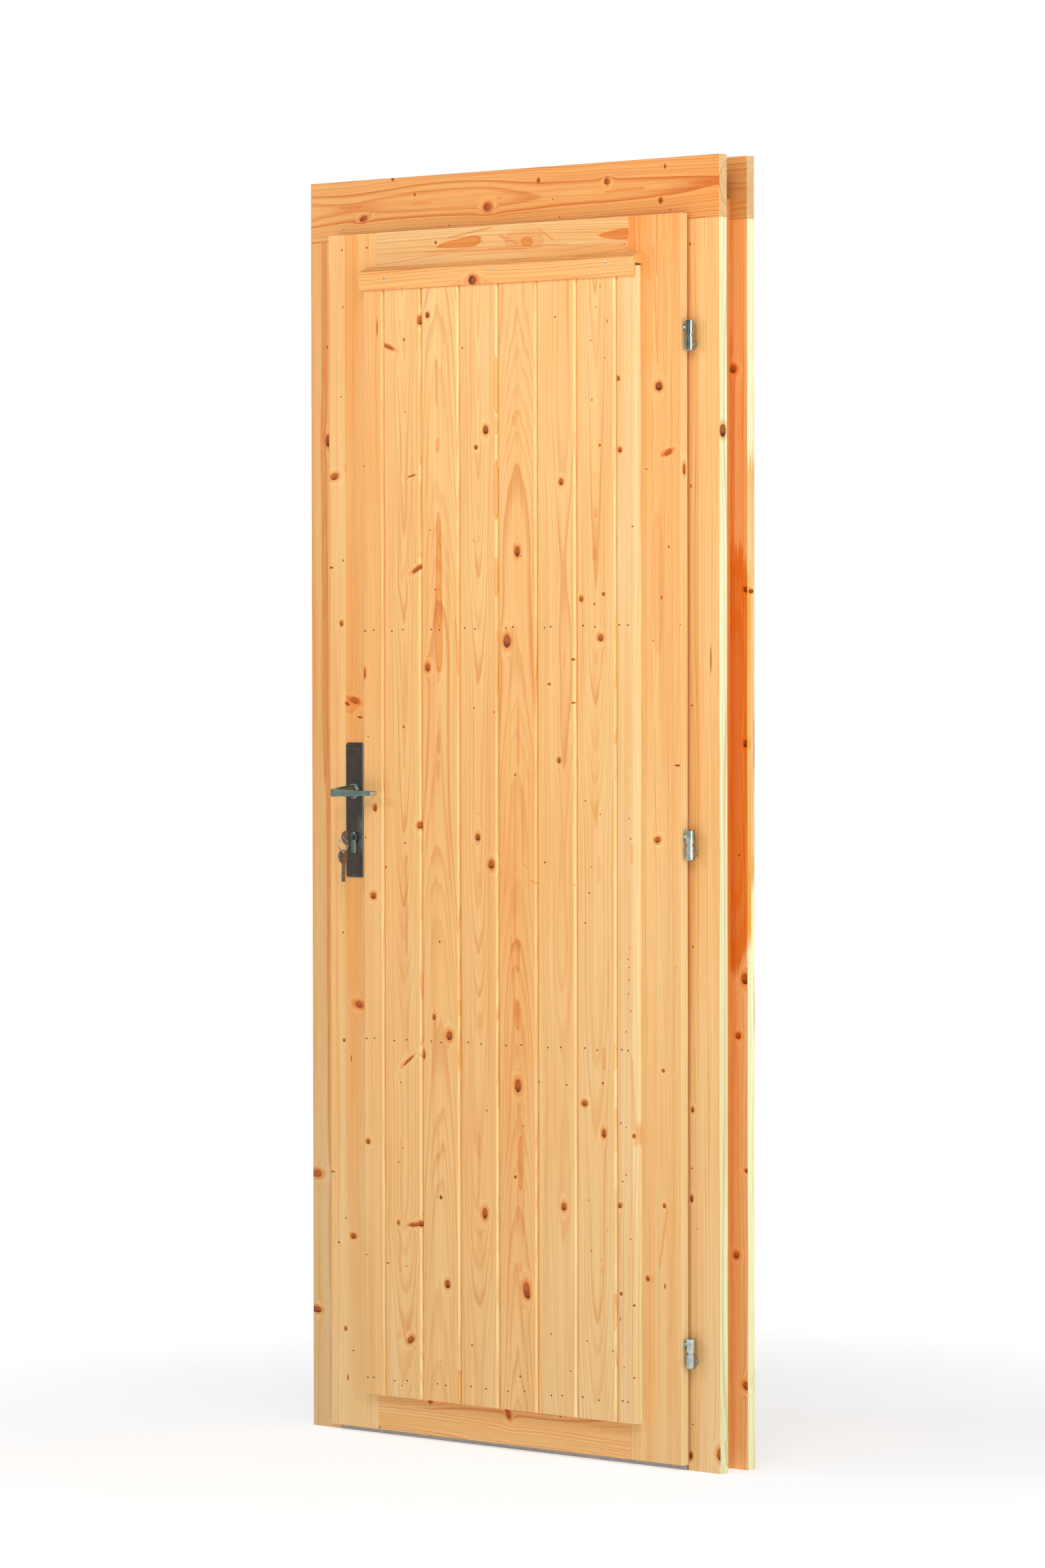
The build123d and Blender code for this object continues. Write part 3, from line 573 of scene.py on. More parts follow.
pine("board_8", 352, 30, rise=10, ring=3.4, heart=40, warm=(-1.3, -0.4, -0.3), joints=(257.8,),
     side=(295.5, 0.6), seed=8,
     knots=[(262, 1624, 4.6, 4, 0.3), (267, 1517, 4, 4, 0.3), (264.5, 390, 4.6, 3.8, 0.3, 10),
         (267, 258, 2.6, 2.4, 0.4)],
     pins=[(259, 1380, 1.2, 13), (292, 1403, 1.3), (285, 968, 1.4, 1), (288, 938, 1.5, 1.4),
         (282, 758, 1.4, 1), (285, 746, 1.3, 1.1), (284.5, 728, 1.2), (283, 707, 1.1, 1.4),
         (288.5, 681, 1.2), (278, 650, 1.4, 1.2), (293, 495, 2, 3.2), (267, 513, 1.2, 2), (278, 507, 1.4, 1),
         (277.5, 436, 1.3, 2), (270.5, 426, 1.3, 1.6), (287, 341, 1.6, 1.1), (293, 242, 1.8, 1.6),
         (265.5, 220, 1.1, 3), (293, 134, 1.3, 1.2), (273, 148, 1, 1.6)],
     stains=[(286, 774, 1.8, 2.4, 0.8), (285, 760, 2, 120, 0.25), (292, 545, 2.4, 70, 0.6, 2),
         (290, 915, 2.6, 16, 0.5), (287, 410, 1.6, 60, 0.3), (285, 300, 1.4, 60, 0.25)])


# Stiles and rails

pine("stile_left", -430, 70, face=-57, ring=2.6, figure=0.5, heart=100, warm=(-0.9, 0.1, 0.2), seed=11,
     glue=(-341, -405, 26, (-0.8, 1.1, 1.0)), body_of_knots=2,
     knots=[(-365, 1490, 9, 5, 0.15, 10), (-350, 1261, 3.5, 4, 0.2), (-321, 1141, 11, 4.4, -0.2, -14),
         (-337, 1136, 4.5, 2, 0.7, -20), (-309, 1115, 4.5, 1.6, 0.7, -8), (-312, 668, 9, 5, 0.05, -10),
         (-326, 306, 6, 4, 0.3), (-344, 160, 2.6, 3.4, 0.3), (-346, 611, 2.6, 2.6, 0.4)],
     pins=[(-347, 1842, 2, 1.6), (-291, 1843, 3.4, 1.2), (-345, 1753, 1.4, 2), (-350, 1614, 1.6, 1.1),
         (-346, 1359, 1.8, 1.6), (-373, 1348, 4.6, 1.6), (-348, 779, 1.8, 1.7), (-330, 583, 1, 5),
         (-343, 333, 1.6, 1.3), (-327, 127, 2.2, 1.2), (-372, 404, 4, 1.3), (-359, 294, 3, 1.4),
         (-339, 84, 1.6, 5)],
     stains=[(-343, 1503, 1.2, 9, 0.6), (-330, 1135, 12, 14, 0.5, -20), (-313, 668, 14, 8, 0.45, -14),
         (-376, 1500, 2, 330, 0.6), (-376, 950, 2, 330, 0.6), (-376, 400, 2, 340, 0.5)])

pine("stile_right", 268, 40, face=-57, rise=10, ring=2.5, figure=0.7, heart=76, warm=(-0.5, -0.3, 1.9),
     seed=12, side=(377.5, 0.35), glue=(345, 430, 70, (-0.4, 0.3, 1.6)), body_of_knots=1,
     knots=[(333, 1610, 6.8, 6, 0.75), (329, 937, 6, 4.4, 0.3, 10), (352, 1512, 9, 3.4, -0.3, 22),
         (340.5, 594, 3, 2.5, 0.4), (342, 393, 3, 3.4, 0.4), (308, 282, 3, 3.4, 0.7, 20)],
     pins=[(307, 1488, 1.6, 1.5), (352.5, 1372, 1.8, 1.6), (338, 1297, 1.6, 2.6), (370, 1048, 5.5, 1.6),
         (321, 1233, 1.3, 1), (343, 273, 1.6, 4), (377, 1257, 2, 1.6)],
     stains=[(329, 1830, 2.2, 60, 0.75), (326, 1730, 2, 90, 0.6, 3), (333, 1740, 1.6, 90, 0.5, -2),
         (350, 1512, 10, 5, 0.9, 22), (360, 1000, 2.6, 700, 0.35, 0.2), (366, 748, 5, 2, 0.4),
         (340, 345, 2.2, 48, 0.7, -10), (325, 1000, 1.6, 120, 0.35), (339, 780, 1.4, 130, 0.35, 2),
         (330, 1320, 12, 110, 0.3), (312, 282, 9, 7, 0.35)],
     side_knots=[(-50, 1487, 3, 8, 0.1)])

pine("top_rail", 1846, 34, face=-57, rise=30, ring=4.6, wander=12, figure=0.8, heart=200,
     warm=(-0.7, 0.3, 1.3), tone=0.93, seed=13, level=True, glue=(1826, 1780, 26, (-1.1, -0.3, 0.7)),
     body_of_knots=2,
     knots=[(-139, 1844, 2.2, 2.2, 0.7)],
     pins=[(262, 1824, 1.6, 1)],
     stains=[(-88, 1841, 50, 7, 1.2, 3, -0.5), (-65, 1856, 52, 1.4, 1.0, 7), (20, 1841, 24, 2.4, 0.9, -20),
         (52, 1840, 44, 15, 0.45), (58, 1837, 13, 7.5, 1.2), (98, 1846, 20, 1.6, 0.8, -30),
         (242, 1839, 34, 7, 1.3, 0, -0.6), (-60, 1829, 110, 1.2, 0.9, -1), (60, 1830, 90, 0.9, 0.8)])

pine("bottom_rail", -8, 30, face=-57, rise=22, ring=3.2, wander=10, figure=0.8, heart=120,
     warm=(-0.3, 0.0, 0.2), seed=14, level=True, glue=(49, 90, 60, (0.0, 0.2, 0.3)),
     knots=[(14, 56, 4.5, 9, 0.0, 25), (-155, 61, 3.6, 3, 0.4)],
     pins=[(125, 61, 1.6, 1.4), (-268, 12, 1.4, 2)])

pine("upper_middle_rail", 1200, 50, face=-57, rise=14, seed=15, level=True,
     knots=[(-90, 1236, 7, 4, 0.3), (160, 1262, 5, 4, 0.5)])
pine("lower_middle_rail", 640, 46, face=-57, rise=-16, seed=16, level=True,
     knots=[(70, 600, 8, 5, 0.2), (-180, 630, 4, 3, 0.6)])

pine("drip_bar", 1762, 40, face=-76, rise=-10, wander=6, figure=0.8, heart=90, warm=(0.7, 0.8, 0.7), seed=17,
     level=True, side=(298.5, 0.0),
     knots=[(-40, 1782, 8, 7, 0.7)],
     stains=[(-15, 1779, 18, 3, 0.4, -6), (-70, 1779, 16, 3, 0.4, 8)])


# Casings, cores and sill

pine("front_casing_left", -470, 60, face=-38, ring=3.2, figure=0.5, heart=78, warm=(-1.8, 0.3, 1.0),
     tone=0.91, seed=21,
     knots=[(-399, 1547, 6, 9, 0.5), (-428, 397, 11, 6, -0.5), (-430, 183, 11, 5, 0.25, -6)],
     pins=[(-394, 770, 1.6, 4), (-401, 1693, 1.4, 2.6)],
     stains=[(-407, 1720, 7, 190, 0.85), (-408, 1470, 7, 220, 0.85), (-407, 1230, 7, 230, 0.85),
         (-402, 1020, 5.5, 190, 0.8, 1.5), (-400, 800, 5, 210, 0.75), (-399, 600, 5, 230, 0.8),
         (-399, 400, 3.4, 200, 0.6), (-398, 200, 2.6, 190, 0.5), (-433, 900, 3, 900, 0.2)])

# Its two long bands at X 376, along the inner edge beside the leaf, are partly the casing's dark inner edge
# and partly a painted shadow of the leaf.
pine("front_casing_right", 350, 40, face=-38, rise=5, figure=0.6, heart=62, warm=(-0.9, 0.2, 0.7), seed=22,
     side=(frame_edge, 1.0),
     knots=[(382, 537, 3, 4, 0.4), (380, 405, 3, 5, 0.6), (438, 29, 7, 9, 0.2)],
     pins=[(379, 1820, 1.5, 2.2), (439, 1650, 1.8, 1.6), (380, 1462, 1.4, 2.6), (381.5, 1137, 1.9, 1.3),
         (420, 1205, 1, 18), (383, 779, 1.7, 1.6), (381, 450, 2.2, 1), (391.5, 361, 1.1, 1),
         (382, 69, 2, 1.1), (378, 22, 4, 6)],
     stains=[(391, 1300, 1.6, 560, 0.4, 0.4), (376, 1400, 2, 450, 0.45), (376, 500, 2, 450, 0.45),
         (420, 1205, 2, 20, 0.4)],
     side_knots=[(-31, 1543, 6.6, 9.5, 0.55)])

pine("front_casing_head", 1908, 36, face=-38, rise=12, wander=14, figure=1.15, heart=90,
     warm=(0.9, 1.3, 1.5), tone=0.91, seed=23, level=True, side=(frame_edge, 0.45),
     knots=[(-318, 1890, 8, 4.4, 0.35, 12), (-45, 1895, 7, 6.5, 0.15), (208, 1921, 4.5, 5, 0.35),
         (319, 1887, 3, 4, 0.6), (64, 1930, 2.4, 3.4, 0.6), (328, 1937, 2.2, 3, 0.6),
         (-204, 1922, 2.2, 2, 0.6), (-253, 1948, 2.4, 2.4, 0.6)],
     pins=[(-128, 1871, 2, 1.1), (108.5, 1872, 2, 1.2), (339, 1872, 2.2, 1), (94, 1900, 1.6, 1),
         (-363, 1875, 1.3, 1)],
     stains=[(-345, 1908, 26, 2.6, 0.5), (-190, 1908, 24, 2.4, 0.5), (-20, 1907, 6, 2.2, 0.4),
         (245, 1907, 44, 2.6, 0.75), (400, 1910, 24, 2.2, 0.6), (100, 1915, 120, 1.2, 0.4),
         (0, 1899, 260, 1.0, 0.4)])

pine("back_casing_left", -360, 50, face=22, warm=(-0.3, 0.6, 0.6), seed=24,
     knots=[(-410, 1500, 6, 8, 0.4), (-425, 760, 5, 6, 0.2), (-395, 320, 3, 3, 0.7)])
pine("back_casing_right", 470, 55, face=22, figure=0.9, warm=(0.1, 0.5, 1.5), tone=1.12, seed=25,
     side=(frame_edge, 1.0), stained_to=30,
     knots=[(410, 1636, 7, 6, 0.2, -20), (436, 1308, 6, 4, 0.7, -30), (434, 1080, 4, 5, 0.7),
         (433, 731, 7, 8, 0.3), (419, 646, 6, 5, 0.2), (437, 446, 5, 3, 0.5), (415, 319, 6, 5, 0.2, 10),
         (435, 126, 8, 6, 0.1, -20)],
     pins=[(421, 914, 2)],
     stains=[(412, 1060, 40, 330, 1.3), (412, 1060, 26, 240, 1.3), (408, 1500, 5, 200, 0.5)],
     side_knots=[(30, 1306, 5, 3, 0.7), (37, 1077, 1.1, 44, 0.9), (37, 684, 1.1, 33, 0.9)],
     side_stains=[(30, 1190, 30, 330, 0.9)])
pine("back_casing_head", 1890, 50, face=22, figure=1.0, warm=(1.0, 1.1, 1.3), tone=0.88, seed=26, level=True,
     side=(frame_edge, 0.45),
     knots=[(-150, 1900, 7, 5, 0.3), (230, 1925, 5, 4, 0.6)])
pine("jamb_core_left", -380, 30, face=-22, warm=(0.8, 1.2, 1.2), tone=0.95, seed=27)
pine("jamb_core_right", 395, 24, face=-22, warm=(0.8, 2.2, 1.2), seed=28)
pine("head_core", 1870, 28, face=-22, warm=(1.0, 1.0, 1.1), tone=0.95, seed=29, level=True)
pine("sill", 10, 40, face=-38, warm=(0.5, 0.5, 0.5), tone=0.9, seed=30, level=True)


# Metals

def metal(name, colour, roughness, metallic=1.0, grain=(1.0, 1.0, 1.0), spread=0.06, coat=0.0):
    """A metal finish: its tone and gloss vary softly, with fine marks that run along grain."""
    material, shader, place = new_material(name)
    marks = noise(vectors("MULTIPLY", place, grain), 1.0, 3.0, 0.6)
    clouds = noise(place, 0.12, 2.0)
    darker = tuple(value * (1 - spread * 2) for value in colour) + (1.0,)
    lighter = tuple(min(1.0, value * (1 + spread)) for value in colour) + (1.0,)
    tint = mixed(rise_between(clouds, 0.3, 0.7), darker, lighter)
    rough = times_plus(marks, 0.16, roughness - 0.08)
    height = put("Bump", {"Strength": 0.12, "Distance": 0.0001, "Height": marks}).outputs[0]
    fill(shader, {"Base Color": tint, "Roughness": rough, "Metallic": metallic, "Normal": height,
                  "Coat Weight": coat, "Coat Roughness": 0.15})
    return material


def within(value, low, high, soft=0.15):
    """1 where a value lies between two limits, with soft ends."""
    return band(value, low - soft, low + soft, high - soft, high + soft)


lock_x, lever_z, cylinder_z = -320.0, 1000.0, 928.0


def lock_metal(name, colour, highlight_tint, roughness, axis_z, highlights_of, metallic, coat):
    """A metal of the lock, with painted highlights in a lighter second colour where the given function puts
    them. That function gets the place across the lock, the height and the reach from the axis at axis_z, in
    mm, and soft noise."""
    material, shader, place = new_material(name)
    parts = apart(place)
    across = minus(parts[0], lock_x)
    reach = vectors("LENGTH", joined(across, minus(parts[2], axis_z)))
    clouds = noise(place, 0.07, 3.0)
    painted_bright = highlights_of(across, parts[2], reach, clouds)
    darker = tuple(value * 0.8 for value in colour) + (1.0,)
    lighter = tuple(value * 1.15 for value in colour) + (1.0,)
    tint = mixed(rise_between(clouds, 0.3, 0.7), darker, lighter)
    # Painted highlights in the lighter colour.
    tint = mixed(painted_bright, tint, highlight_tint + (1.0,))
    grit = noise(place, 0.9, 3.0)
    rough = times_plus(grit, 0.14, roughness - 0.07)
    height = put("Bump", {"Strength": 0.10, "Distance": 0.0001, "Height": grit}).outputs[0]
    fill(shader, {"Base Color": tint, "Roughness": rough, "Metallic": metallic, "Normal": height,
                  "Coat Weight": coat, "Coat Roughness": 0.15})
    return material


def plate_painted_highlights(across, z, reach, clouds):
    """Painted highlights: bright rims along the right and lower edges, the collar round the lever, and a
    painted reflection, a haze that grows towards the right beside the cylinder.
    """
    right_rim, low_rim = rise_between(across, 18.1, 18.6), rise_between(z, 866.6, 866.0)
    lit_rims = times(larger(right_rim, low_rim), 0.8)
    collar = rise_between(reach, 11.6, 11.2)
    painted_haze = times(within(z, 905.0, 955.0, 14.0), rise_between(across, 2.0, 18.0))
    painted_haze = times(painted_haze, times(clouds, 0.5))
    return larger(lit_rims, larger(collar, painted_haze))


def lever_painted_highlights(across, z, reach, clouds):
    """Painted highlights: the bright end of the grip and its lit upper edges."""
    end, upper_edge = rise_between(across, 81.2, 81.8), rise_between(z, 1003.0, 1006.5)
    return larger(end, times(upper_edge, 0.35))


def cylinder_painted_highlights(across, z, reach, clouds):
    """Painted highlights: rings round the keyway on its right side, and lit edges of the lower body."""
    ring_highlights = larger(within(reach, 7.4, 8.3), within(reach, 5.6, 6.2))
    ring_highlights = times(ring_highlights, rise_between(across, -2.0, 4.0))
    edge = times(within(across, 3.9, 5.2), rise_between(z, 922.0, 918.0))
    return larger(ring_highlights, edge)


# Each lock metal gets painted highlights from the function it is given.
lacquer = lock_metal("dark bronze lacquer", (0.034, 0.020, 0.013), (0.34, 0.42, 0.36), 0.36, lever_z,
                     plate_painted_highlights, metallic=0.4, coat=0.2)
bronze = lock_metal("grey green bronze", (0.150, 0.205, 0.180), (0.62, 0.60, 0.47), 0.30, lever_z,
                    lever_painted_highlights, metallic=0.85, coat=0.2)
nickel = lock_metal("darkened cylinder", (0.110, 0.135, 0.120), (0.55, 0.66, 0.60), 0.22, cylinder_z,
                    cylinder_painted_highlights, metallic=0.9, coat=0.1)
steel = metal("satin steel", (0.50, 0.50, 0.49), 0.38, grain=(3.0, 3.0, 0.3))
zinc = metal("bright zinc", (0.44, 0.48, 0.46), 0.16, grain=(4.0, 4.0, 0.4), spread=0.15)
key_metal = metal("tarnished key", (0.36, 0.38, 0.40), 0.20, metallic=0.92, spread=0.15)
chrome = metal("chromed wire", (0.62, 0.60, 0.58), 0.12, grain=(2.0, 2.0, 2.0), spread=0.2)
aluminium = metal("satin aluminium", (0.36, 0.33, 0.31), 0.32, grain=(0.1, 2.0, 2.0))
hinge_places = ("top", "middle", "bottom")
wear(lacquer, "backplate_outside", "backplate_inside")
wear(bronze, "lever_outside", "lever_inside")
wear(nickel, "lock_cylinder", "cylinder_plug")
wear(steel, "lock_case", "strike_plate", "spindle")
wear(zinc, *[f"hinge_{half}_{place}" for half in ("frame", "leaf") for place in hinge_places])
wear(key_metal, "lock_key", "spare_key")
wear(chrome, "key_ring")
wear(aluminium, "threshold_sheet")


# Nails, screws and threads: each is modelled once at height 0, then copied to its places

facings = {
    "-Y": Euler((math.radians(90), 0.0, 0.0)),
    "+Y": Euler((math.radians(-90), 0.0, 0.0)),
    "-X": Euler((0.0, math.radians(-90), 0.0)),
    "+X": Euler((0.0, math.radians(90), 0.0)),
}


def pick(piece, kind, test):
    """Opens a piece for editing, with only its faces or edges that pass a test selected."""
    bpy.ops.object.mode_set(mode="EDIT")
    bpy.ops.mesh.select_mode(type=kind)
    bpy.ops.mesh.select_all(action="DESELECT")
    bpy.ops.object.mode_set(mode="OBJECT")
    for part in piece.data.polygons if kind == "FACE" else piece.data.edges:
        part.select = test(part)
    bpy.ops.object.mode_set(mode="EDIT")


def faces_down(face):
    return face.normal.z < -0.9


def faces_up(face):
    return face.normal.z > 0.9


def model_nail(finish):
    """A brad with a thin dished head, its middle at height 0, and a short shank."""
    bpy.ops.object.select_all(action="DESELECT")
    bpy.ops.mesh.primitive_cylinder_add(vertices=14, radius=1.25 * mm, depth=0.5 * mm)
    nail = bpy.context.object
    pick(nail, "FACE", faces_down)
    bpy.ops.mesh.inset(thickness=0.55 * mm)
    bpy.ops.mesh.extrude_region_move(TRANSFORM_OT_translate={"value": (0.0, 0.0, -4.0 * mm)})
    pick(nail, "FACE", faces_up)
    bpy.ops.mesh.inset(thickness=0.35 * mm)
    bpy.ops.transform.translate(value=(0.0, 0.0, -0.12 * mm))
    bpy.ops.object.mode_set(mode="OBJECT")
    nail.data.materials.append(finish)
    return nail


def model_screw_head(finish, radius, height, recess):
    """A domed screw head with a cross recess. Its underside is at height 0, with a short shank below it."""
    bpy.ops.object.select_all(action="DESELECT")
    middle = (0.0, 0.0, height / 2)
    bpy.ops.mesh.primitive_cylinder_add(vertices=28, radius=radius, depth=height, location=middle)
    head = bpy.context.object
    pick(head, "FACE", faces_down)
    bpy.ops.mesh.inset(thickness=radius * 0.55)
    bpy.ops.mesh.extrude_region_move(TRANSFORM_OT_translate={"value": (0.0, 0.0, -2.0 * mm)})

    def on_top(edge):
        return all(head.data.vertices[end].co.z > height / 2 - 0.01 * mm for end in edge.vertices)

    pick(head, "EDGE", on_top)
    bpy.ops.mesh.bevel(offset=height * 0.8, segments=5, profile=0.55)
    bpy.ops.object.mode_set(mode="OBJECT")
    bpy.ops.object.select_all(action="DESELECT")
    slot = (recess * 2, recess * 0.44, height)
    bpy.ops.mesh.primitive_cube_add(size=1.0, location=(0.0, 0.0, height), scale=slot)
    cutter = bpy.context.object
    pick(cutter, "FACE", faces_down)
    bpy.ops.transform.resize(value=(0.62, 0.8, 1.0))
    bpy.ops.mesh.select_all(action="SELECT")
    bpy.ops.mesh.duplicate()
    bpy.ops.transform.rotate(value=math.radians(90), orient_axis="Z", center_override=(0.0, 0.0, 0.0))
    bpy.ops.object.mode_set(mode="OBJECT")
    cut = head.modifiers.new("cross recess", "BOOLEAN")
    cut.object = cutter
    cut.use_self = True
    bpy.ops.object.select_all(action="DESELECT")
    bpy.context.view_layer.objects.active = head
    head.select_set(True)
    bpy.ops.object.modifier_apply(modifier=cut.name)
    bpy.data.objects.remove(cutter)
    bpy.ops.object.shade_smooth_by_angle(angle=math.radians(32))
    head.data.materials.append(finish)
    return head


def model_thread(finish, turns, pitch, radius):
    """A ridge that winds up a bolt, from height 0."""
    bpy.ops.object.select_all(action="DESELECT")
    bpy.ops.mesh.primitive_circle_add(vertices=3, radius=pitch * 0.5, fill_type="NOTHING")
    ridge = bpy.context.object
    bpy.ops.object.mode_set(mode="EDIT")
    bpy.ops.mesh.select_all(action="SELECT")
    bpy.ops.transform.rotate(value=math.radians(90), orient_axis="X", center_override=(0.0, 0.0, 0.0))
    bpy.ops.transform.rotate(value=math.radians(-90), orient_axis="Y", center_override=(0.0, 0.0, 0.0))
    bpy.ops.transform.translate(value=(radius, 0.0, pitch * 0.5))
    bpy.ops.object.mode_set(mode="OBJECT")
    wind = ridge.modifiers.new("winding", "SCREW")
    wind.screw_offset = pitch
    wind.iterations = turns
    wind.steps = 20
    wind.render_steps = 20
    wind.use_merge_vertices = False
    bpy.ops.object.modifier_apply(modifier=wind.name)
    bpy.ops.object.mode_set(mode="EDIT")
    bpy.ops.mesh.select_all(action="SELECT")
    bpy.ops.mesh.fill_holes(sides=3)
    bpy.ops.mesh.normals_make_consistent(inside=False)
    bpy.ops.object.mode_set(mode="OBJECT")
    ridge.data.materials.append(finish)
    return ridge


def put_copies(model, name, body, places):
    """One piece out of copies of a model. A place is its point in mm, the way it faces, and its own turn."""
    copies = []
    for point, facing, turn in places:
        copy = model.copy()
        copy.data = model.data.copy()
        scene.collection.objects.link(copy)
        faced = facings[facing].to_matrix() @ Euler((0.0, 0.0, math.radians(turn))).to_matrix()
        copy.rotation_euler = faced.to_euler()
        copy.location = Vector(point) * mm
        copies.append(copy)
    bpy.ops.object.select_all(action="DESELECT")
    for copy in copies:
        copy.select_set(True)
    piece = copies[0]
    bpy.context.view_layer.objects.active = piece
    bpy.ops.object.transform_apply(location=True, rotation=True, scale=True)
    bpy.ops.object.join()
    piece.name = name
    piece.data.name = name
    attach(piece, body)
    return piece


def nail_row(name, low_z, high_z, across):
    """Two brads through each board, in a row that climbs a little towards the hinges."""
    places = []
    for index, x in enumerate(across):
        share = (x - across[0]) / (across[-1] - across[0])
        off_line = 1.3 * math.sin(2.3 * index)
        z = low_z + share * (high_z - low_z) + off_line
        places.append(((x, board_face - nail_stands, z), "-Y", 25.0 * index))
    put_copies(nail, name, "leaf", places)


board_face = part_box("board_4")[0][1] / mm
bar_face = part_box("drip_bar")[0][1] / mm
nail_stands, plate_thickness, sunk, from_end = 0.15, 2.0, 0.5, 9
outside_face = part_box("backplate_outside")[1][1] / mm - plate_thickness
inside_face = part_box("backplate_inside")[0][1] / mm + plate_thickness

rusty_nail = metal("darkened brad", (0.035, 0.022, 0.015), 0.6, metallic=0.6, grain=(1.5, 1.5, 1.5),
                   spread=0.3)
zinc_screw = metal("zinc screw", (0.34, 0.34, 0.33), 0.30, grain=(2.0, 2.0, 2.0), spread=0.2)
bronze_screw = metal("bronzed screw", (0.085, 0.070, 0.058), 0.26, metallic=0.9, coat=0.3)
zinc_thread = metal("zinc thread", (0.50, 0.50, 0.48), 0.34, grain=(3.0, 3.0, 3.0), spread=0.2)

nail = model_nail(rusty_nail)
nail_row("nails_upper", 1249, 1256, (
    -281, -262, -221.5, -197, -135, -117, -62, -39.5, 27, 41.5, 109, 122, 190.5, 215, 265, 283.5))
nail_row("nails_middle", 617, 622, (
    -279.5, -262.5, -218, -190.5, -136.5, -115, -56, -28, 25, 58.5, 115, 142, 192.5, 218.5, 269.5, 282.5))
nail_row("nails_bottom", 90, 97, (
    -278.5, -265.5, -219, -190.5, -124, -106, -51, -18.5, 28.5, 64, 121, 144, 187.5, 221.5, 270.5, 281.5))
bpy.data.objects.remove(nail)

screw = model_screw_head(zinc_screw, radius=2.8 * mm, height=0.9 * mm, recess=1.7 * mm)
put_copies(screw, "drip_bar_screws", "leaf", [
    ((-233, bar_face, 1793), "-Y", 20), ((3, bar_face, 1797), "-Y", 65), ((242, bar_face, 1797), "-Y", 40)])
case_low, case_high = (Vector(corner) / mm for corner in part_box("lock_case"))
case_x, case_y = case_low.x + sunk, (case_low.y + case_high.y) / 2
put_copies(screw, "faceplate_screws", "leaf", [
    ((case_x, case_y, case_low.z + from_end), "-X", 10),
    ((case_x, case_y, case_high.z - from_end), "-X", 50)])
strike_low, strike_high = (Vector(corner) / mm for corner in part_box("strike_plate"))
strike_x, strike_y = strike_high.x - sunk, (strike_low.y + strike_high.y) / 2
put_copies(screw, "strike_screws", "frame", [
    ((strike_x, strike_y, strike_low.z + from_end), "+X", 30),
    ((strike_x, strike_y, strike_high.z - from_end), "+X", 75)])
bpy.data.objects.remove(screw)

screw = model_screw_head(bronze_screw, radius=4.0 * mm, height=1.9 * mm, recess=2.3 * mm)
plate_sides = (("outside", outside_face, "-Y", (15, 60, 35)), ("inside", inside_face, "+Y", (70, 5, 40)))
for side, face, facing, turns in plate_sides:
    places = ((-334.0, face, 1069), (-308.8, face, 1069), (lock_x, face, 872))
    put_copies(screw, side + "_plate_screws", "leaf", [
        (point, facing, turn) for point, turn in zip(places, turns)])
bpy.data.objects.remove(screw)

thread = model_thread(zinc_thread, turns=4, pitch=1.2 * mm, radius=4.0 * mm)
hinge_x, hinge_y, casing_front, barrel_radius, bolt_from_end = 389.5, -50.0, -38.1, 7.1, 10.25
for place in hinge_places:
    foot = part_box("hinge_frame_" + place)[0][2] / mm
    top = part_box("hinge_leaf_" + place)[1][2] / mm
    put_copies(thread, f"frame_bolt_thread_{place}", "frame", [
        ((hinge_x, casing_front, foot + bolt_from_end), "-Y", 0)])
    put_copies(thread, f"leaf_bolt_thread_{place}", "leaf", [
        ((hinge_x - barrel_radius, hinge_y, top - bolt_from_end), "-X", 0)])
bpy.data.objects.remove(thread)


# Camera: the photograph's own place and lens

def add_camera():
    lens = bpy.data.cameras.new("camera")
    lens.sensor_fit = "AUTO"
    lens.sensor_width = 36.0
    lens.lens = 148.27
    lens.clip_end = 100.0
    camera = bpy.data.objects.new("camera", lens)
    scene.collection.objects.link(camera)
    camera.location = (6.9361, -7.0146, 1.2258)
    yaw, pitch, roll = (math.radians(angle) for angle in (44.718, -1.227, -0.095))
    turn = Euler((math.pi / 2 + pitch, 0.0, yaw)).to_matrix() @ Euler((0.0, 0.0, roll)).to_matrix()
    camera.rotation_euler = turn.to_euler()
    scene.camera = camera


# Floor, air and lamps

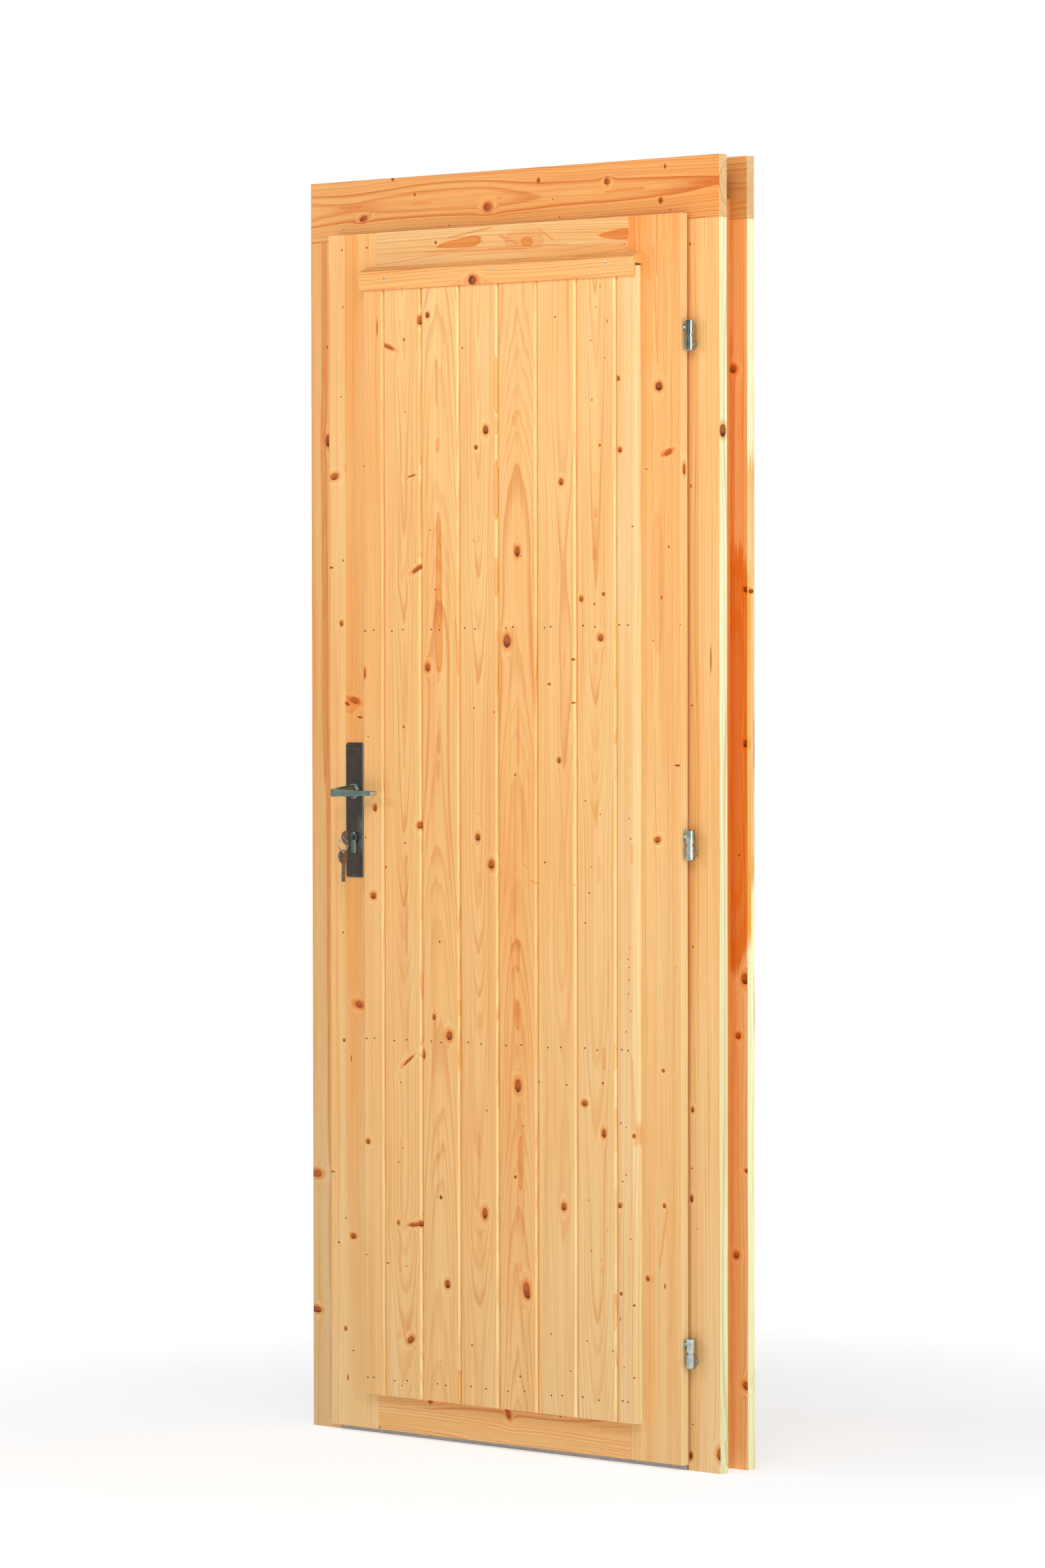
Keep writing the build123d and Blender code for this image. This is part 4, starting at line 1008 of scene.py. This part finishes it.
def add_floor():
    bpy.ops.mesh.primitive_plane_add(size=80.0, location=(0.0, 0.0, -0.0005))
    floor = bpy.context.object
    floor.name = "floor"
    material, shader, place = new_material("pale floor")
    specks = noise(place, 0.01, 2.0)
    tint = mixed(specks, (0.44, 0.44, 0.44, 1.0), (0.46, 0.46, 0.46, 1.0))
    away = rise_between(vectors("LENGTH", place), 600.0, 3000.0)
    glow = times_plus(away, 0.35, 0.65)
    fill(shader, {"Base Color": tint, "Roughness": 0.9, "Specular IOR Level": 0.0,
                  "Emission Color": (1.0, 1.0, 1.0, 1.0), "Emission Strength": glow})
    floor.data.materials.append(material)


def add_air():
    """A white room round the object. It looks white, lights softly, and shows windows in what shines."""
    world = bpy.data.worlds.new("studio")
    scene.world = world
    world.use_nodes = True
    tree = world.node_tree
    tree.nodes.clear()
    light = put("Background", {"Color": (1.0, 1.0, 1.0, 1.0), "Strength": 0.33}, tree).outputs[0]
    look = put("Background", {"Color": (1.0, 1.0, 1.0, 1.0), "Strength": 1.0}, tree).outputs[0]
    around = apart(put("TexCoord", {}, tree).outputs["Generated"])
    windows = rise_between(maths("SINE", times(around[0], 7.0)), 0.1, 0.7)
    shine = mixed(windows, (0.05, 0.09, 0.08, 1.0), (0.75, 0.85, 0.82, 1.0))
    gloss = put("Background", {"Color": shine, "Strength": 0.6}).outputs[0]
    rays = put("LightPath", {}, tree).outputs
    both = put("MixShader", {0: rays["Is Glossy Ray"], 1: light, 2: gloss}).outputs[0]
    both = put("MixShader", {0: rays["Is Camera Ray"], 1: both, 2: look}).outputs[0]
    put("OutputWorld", {"Surface": both})


def add_lamp(name, place, width, height, power):
    """A soft box that faces the middle of the door."""
    lamp = bpy.data.lights.new(name, "AREA")
    lamp.shape = "RECTANGLE"
    lamp.size = width
    lamp.size_y = height
    lamp.energy = power
    holder = bpy.data.objects.new(name, lamp)
    scene.collection.objects.link(holder)
    holder.location = place
    aim = Vector((0.0, 0.0, 1.0)) - Vector(place)
    holder.rotation_euler = aim.to_track_quat("-Z", "Y").to_euler()


bpy.ops.object.select_all(action="DESELECT")
add_camera()
add_floor()
add_air()
add_lamp("right front soft box", (2.2, -2.6, 3.4), 1.3, 1.3, 47.0)
add_lamp("right side soft box", (3.4, -1.2, 1.3), 1.5, 2.0, 38.0)
add_lamp("left front soft box", (-2.6, -3.0, 2.6), 0.4, 0.4, 29.0)
add_lamp("upper soft box", (0.3, -1.3, 2.9), 0.8, 0.8, 5.0)
scene.view_settings.view_transform = "Standard"
